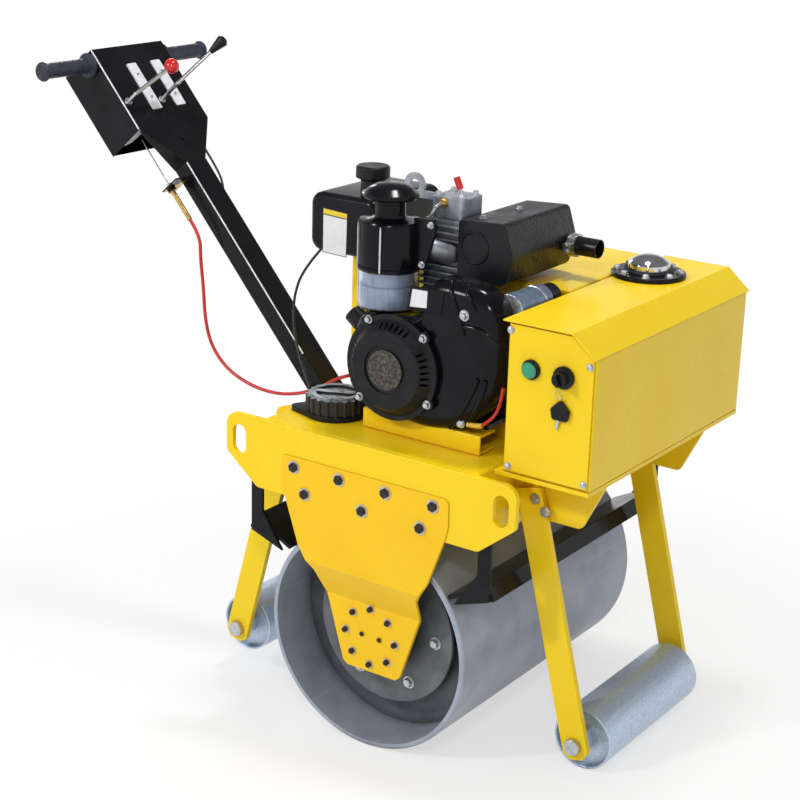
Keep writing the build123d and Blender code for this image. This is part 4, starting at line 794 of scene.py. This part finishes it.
for number, fold in enumerate((
    ((112, -230, 884), (122, -244, 872), (132, -245, 846), (146, -245, 812), (150, -245, 800)),
    ((146, -232, 884), (154, -243, 874), (163, -245, 858), (172, -244, 846)),
    ((150, -245, 816), (172, -245, 818), (196, -243, 812), (212, -236, 796)),
    ((122, -232, 628), (144, -244, 654), (166, -245, 690), (182, -245, 730)),
    ((160, -232, 646), (176, -242, 670), (190, -244, 700), (197, -244, 730)),
)):
    bar(f"cowl_fold_{number}", fold, 10, engine_black)
fasten("cowl_bolts", [(150, cowl_face, 836)], (0, -1, 0), 12, 6, 19, bright_zinc, bright_zinc,
       seed=17)


# Recoil starter: a moulded black cover, louvred round its side, with a round centre worn to its
# ground colour. Its four ears are bolted to the cowl.
worn_centre = finish("worn_centre", (0.1, 0.08, 0.055), (0.014, 0.013, 0.012), 170, (0.45, 0.7),
                     bump=0.0002, fine=300, share=(0.35, 0.6))
recoil_x, recoil_z, ear_circle, ear_face = 10, 718, 93, -256
recoil = dress("recoil_starter", moulded_black, 3, 3)
recoil_front = min((machine.inverted() @ vertex.co).y for vertex in recoil.data.vertices)
lathe("recoil_centre", [(0, -1), (35, -1), (36, 0.5), (34, 1.6), (26, 1.9), (25, 1.2), (24, 1.9), (0, 2.4)],
      near_face(recoil_x, recoil_front, recoil_z), worn_centre, sides=64)
ears = [(recoil_x + ear_circle * cos(radians(a)), ear_face, recoil_z + ear_circle * sin(radians(a)))
        for a in (45, 122, 225, -33)]
fasten("recoil_bolts", ears, (0, -1, 0), 10, 6, 15, bright_zinc, bright_zinc, seed=13)


# On the cowl: a small blank plate on a black steel bracket, and the battery lead's end, a plated
# ring terminal with a yellow sleeve that is nutted to its stud.
plate_white = finish("plate_white", (0.74, 0.75, 0.76), (0.66, 0.67, 0.68), 60)
slab("plate_bracket", [(34, 827), (104, 828), (108, 868), (40, 870)], 2.5, near_face(0, -244, 0),
     engine_black)
slab("cowl_plate", [(44, 864), (75, 865), (74, 835), (39, 832)], 0.6, near_face(0, -246.5, 0),
     plate_white)
terminal_yellow = finish("terminal_yellow", (0.7, 0.45, 0.03), (0.6, 0.38, 0.03), 90)
terminal = near_face(146, -236, 641)
lathe("terminal_ring", [(4, 0), (8, 0), (8, 1.6), (4, 1.6), (4, 0)], terminal, bright_zinc,
      sides=32)
lathe("terminal_stud", [(0, -24), (4.2, -24), (4.2, 2), (6.5, 2), (6.5, 5), (4.5, 6.5), (0, 6.5)], terminal,
      bright_zinc, sides=24)
bar("terminal_sleeve", ((159, -236, 642), (172, -236, 642), (189, -236, 646)), 9, terminal_yellow)


# Cylinder and head: finned alloy castings with a rocker cover, injection pipe and lifting eye,
# held by bright nuts. The decompression lever is steel with a dipped red grip.
# The cast alloy takes a near-black painted shade between its fins and in its corners.
cast_alloy = finish("cast_alloy", (0.42, 0.45, 0.5), (0.28, 0.3, 0.35), 70, (0.32, 0.5), metallic=0.6,
                    bump=0.0002, fine=350, corner_shade=((0.02, 0.02, 0.024), 0.012, 0.85))
red_plastic = finish("red_plastic", (0.62, 0.008, 0.008), (0.5, 0.006, 0.006), 60, (0.15, 0.28), coat=0.3)
brass = finish("brass", (0.62, 0.43, 0.14), (0.5, 0.34, 0.1), 90, (0.25, 0.4), metallic=0.9)
dress("cylinder_head", cast_alloy, 0.8)
grip_foot = 1014
lever = dress("decompression_lever", bright_zinc, 0.6)
refinish(lever, red_plastic, lambda p: p.z > grip_foot)
fasten("head_bolts", [(x, y, 1000) for x in (4, 50) for y in (-116, -68)], (0, 0, 1), 10, 6, 15,
       bright_zinc, bright_zinc, seed=19)
fasten("head_nut", [(22, -126, 990)], (0, -1, 0), 13, 7, 18, brass, brass, seed=23)
bar("injection_pipe", ((22, -133, 990), (22, -150, 990), (18, -158, 975), (4, -158, 950), (0, -158, 915),
                       (6, -150, 890)), 6, bright_zinc)


# Fuel tank: pressed and seam-welded steel in black enamel, with a moulded cap. A thin blank plate
# with a yellow band is fixed to its near side.
plate_dark = finish("plate_dark", (0.02, 0.02, 0.02), (0.03, 0.03, 0.03), 60)
plate_yellow = finish("plate_yellow", (0.8, 0.6, 0.03), (0.74, 0.54, 0.02), 60)
dress("fuel_tank", black)
dress("fuel_cap", moulded_black, 1.2)
on_tank = near_face(0, -140, 0)
slab("tank_plate_back", [(-231, 864), (-231, 947), (-175, 944), (-176, 862)], 0.5, on_tank, plate_dark)
slab("tank_plate", [(-229.5, 865.5), (-229.5, 934), (-176.5, 932), (-177.5, 863.5)], 0.8, on_tank,
     plate_white)
slab("tank_plate_band", [(-229.5, 936), (-229.5, 945.5), (-176.5, 942.5), (-176.5, 934)], 0.8, on_tank,
     plate_yellow)


# Air cleaner: pressed black can with a rain lid, held on its clear oil bowl by spring clips. An
# ear bolts it to the engine, and an alloy elbow leads the air to the head.
cleaner_x, cleaner_y, clip_circle = -43, -195, 57.5
upright = top_face(cleaner_x, cleaner_y, 0)
can = lathe("air_cleaner_can", [
    (0, 877), (55, 877), (57.5, 879), (57.5, 884), (55.5, 886), (55.5, 959), (53, 964), (31, 968), (28, 970),
    (27, 974), (27, 999), (30, 1001), (47, 1002), (50, 1005), (50, 1010), (44, 1013), (38, 1020), (24, 1026),
    (0, 1028)], upright, engine_black, sides=72, angle=28)
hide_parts("air_cleaner")
slab("cleaner_ear", [(8, 974), (50, 976), (54, 970), (52, 950), (34, 892), (28, 884), (8, 882)], 7,
     near_face(0, -190, 0), engine_black, rounding=1.5)
fasten("ear_bolts", [(44, -197, 966), (28, -197, 894)], (0, -1, 0), 8, 5, 12, bright_zinc, bright_zinc,
       seed=37)
bar("intake_elbow", ((12, -180, 926), (34, -176, 922), (50, -158, 912), (56, -120, 900)), 30, cast_alloy,
    ring=8)
clear_bowl = bpy.data.materials.new("clear_bowl")
clear_bowl.use_nodes = True
bowl_shader = clear_bowl.node_tree.nodes["Principled BSDF"]
bowl_shader.inputs["Base Color"].default_value = (0.86, 0.91, 1.0, 1)
bowl_shader.inputs["Transmission Weight"].default_value = 1.0
bowl_shader.inputs["Roughness"].default_value = 0.08
bowl_shader.inputs["IOR"].default_value = 1.35
bowl = lathe("oil_bowl", [
    (0, 805), (46, 805), (52, 808), (54.5, 815), (54.5, 876), (52, 876), (52, 816), (50.5, 811), (45, 807.5),
    (0, 807.5)], upright, clear_bowl, sides=64)
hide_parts("air_cleaner_bowl")
bowl_oil = finish("bowl_oil", (0.48, 0.52, 0.58), (0.36, 0.4, 0.47), 30, (0.2, 0.4),
                  streaks=((260, 260, 6), (0.2, 0.22, 0.27), 0.5, 0.72))
lathe("bowl_insert", [(0, 809), (44, 809), (49, 813), (50, 820), (50, 850), (46, 852), (44, 875), (0, 875)],
      upright, bowl_oil)
clip_outline = [(-1.6, 879), (1.6, 879), (1.6, 954), (0.8, 961), (-0.8, 961), (-1.6, 954)]
for number, turn in enumerate((-71, -126, 54)):
    a = radians(turn)
    on_can = facing(cleaner_x + clip_circle * cos(a), cleaner_y + clip_circle * sin(a), 0,
                    (-sin(a), cos(a), 0), (0, 0, 1))
    slab(f"cleaner_clip_{number}", clip_outline, 1.2, on_can, chrome, rounding=0.4)


# Muffler: sheet steel, sprayed with heat-proof black over a stippled heat shield. A zinc clamp
# holds its plain tail pipe, and two screws the shield.
muffler_black = finish("muffler_black", (0.006, 0.006, 0.008), (0.01, 0.01, 0.013), 30, (0.25, 0.4),
                       specular=0.25)
stippled = finish("stippled_black", (0.008, 0.008, 0.01), (0.016, 0.016, 0.019), 30, bump=0.0012, fine=210,
                  cells=True, specular=0.3)
shield_start, shield_end, clamp_start, clamp_end = -149, 64, 186, 202
muffler = dress("muffler", muffler_black, 2)
refinish(muffler, stippled, lambda p: shield_start < p.y < shield_end)
tail = dress("exhaust_tip", muffler_black, 1)
refinish(tail, bright_zinc, lambda p: clamp_start < p.x < clamp_end)
fasten("muffler_screws", [(100, -120, 973.5), (112, -20, 975)], (0, 0, 1), 9, 4, 14, bright_zinc,
       bright_zinc, seed=29)
fasten("clamp_screws", [(194, 9, 907), (194, 9, 919)], (0, -1, 0), 7, 4, 9, bright_zinc, bright_zinc,
       seed=31)


# Electric starter: a motor in a drawn steel barrel, plated dull blue, with a bright nose and a
# bright band round it, and a black cap on its far end.
starter_blue = finish("starter_blue", (0.2, 0.27, 0.38), (0.15, 0.2, 0.29), 60, (0.22, 0.4), metallic=0.5)
collar_start, collar_end, nose_end, cap_start = -175, -170, -194, -94
starter = dress("starter_motor", starter_blue, 1.5)
refinish(starter, bright_zinc, lambda p: collar_start < p.y < collar_end or p.y < nose_end)
refinish(starter, moulded_black, lambda p: p.y > cap_start)
lathe("starter_band", [(28.3, 0), (29.4, 0.5), (29.4, 5.5), (28.3, 6), (28.3, 0)],
      near_face(205, -112, 842), bright_zinc)


# Handle: rectangular tube arm in its pivot bracket, and a folded control head on a tapered neck,
# in black enamel, with thin pale strips along the near folds as a painted highlight.
# Painted highlight: a pale strip lies along the head's near fold and another along the arm's.
painted_fold_highlight = finish("painted_fold_highlight", (0.8, 0.8, 0.82), (0.5, 0.5, 0.53), 60, (0.25, 0.4), specular=0.4,
                   streaks=((25, 25, 25), (0.08, 0.08, 0.09), 0.7, 0.85))
grey_steel = finish("grey_steel", (0.3, 0.31, 0.33), (0.2, 0.21, 0.22), 90, (0.35, 0.5), metallic=0.5)
dress("handle_bracket", black, 2)
dress("handle_arm", black)
dress("control_head", black, 2.5)
bar("head_fold_highlight", ((18.9, -101.9, 692), (18.9, -101.9, 790), (18.9, -101.9, 880)), 3, painted_fold_highlight,
    "handle", handle)
bar("arm_fold_highlight", ((19.3, -29.3, 150), (19.3, -29.3, 400), (19.3, -29.3, 601)), 3, painted_fold_highlight,
    "handle", handle)
slab("head_tab", [(20, -103), (20, -72), (6, -86), (-24, -90), (-34, -103)], 2,
     handle @ Matrix.Translation((0, 0, 688)), grey_steel, "handle")
fasten("neck_screw", [(19.5, -1, 655)], (1, 0, 0), 8, 3, 11, black, black, "handle", handle,
       pan_head)


# Controls: two bright guide plates riveted to the head, a bent lever with a red ball, a long one
# with a black cone, knurled rubber grips, and the brass cable adjuster in its black tab.
bare_steel = finish("bare_steel", (0.6, 0.6, 0.62), (0.45, 0.45, 0.47), 160, (0.22, 0.38), metallic=1.0)
plate_steel = finish("plate_steel", (0.82, 0.83, 0.85), (0.7, 0.71, 0.74), 60, metallic=0.15)
knurled_rubber = finish("knurled_rubber", (0.03, 0.036, 0.055), (0.016, 0.019, 0.028), 70, (0.4, 0.6),
                        bump=0.0008, fine=330, cells=True, specular=0.3)
dress("slot_plates", plate_steel, 0.4)
plate_middle, rivet_half_span = 782.5, 27.25
rivets = [(23, y, plate_middle + s * rivet_half_span) for y in (-22, 48) for s in (-1, 1)]
fasten("plate_rivets", rivets, (1, 0, 0), 5, 1.6, 6, bare_steel, bare_steel, "handle",
       handle, sides=16)
ball_middle, ball_radius, cone_foot = Vector((105, -18, 771)), 15.6, 150.5
ball_lever = dress("ball_lever", bare_steel, 0.4)
refinish(ball_lever, red_plastic, lambda p: (p - ball_middle).length < ball_radius, handle)
cone_lever = dress("cone_lever", bare_steel, 0.4)
refinish(cone_lever, moulded_black, lambda p: p.x > cone_foot, handle)
dress("handle_grips", knurled_rubber, 2, 3)
barrel_x, barrel_y, barrel_radius, barrel_top = -25, -60, 8, 577.5
adjuster = dress("cable_adjuster", brass, 0.5)
refinish(adjuster, black,
         lambda p: (p.x - barrel_x) ** 2 + (p.y - barrel_y) ** 2 > barrel_radius ** 2, handle)
refinish(adjuster, wire_steel, lambda p: p.z > barrel_top, handle)

bpy.context.scene.view_settings.view_transform = "Standard"
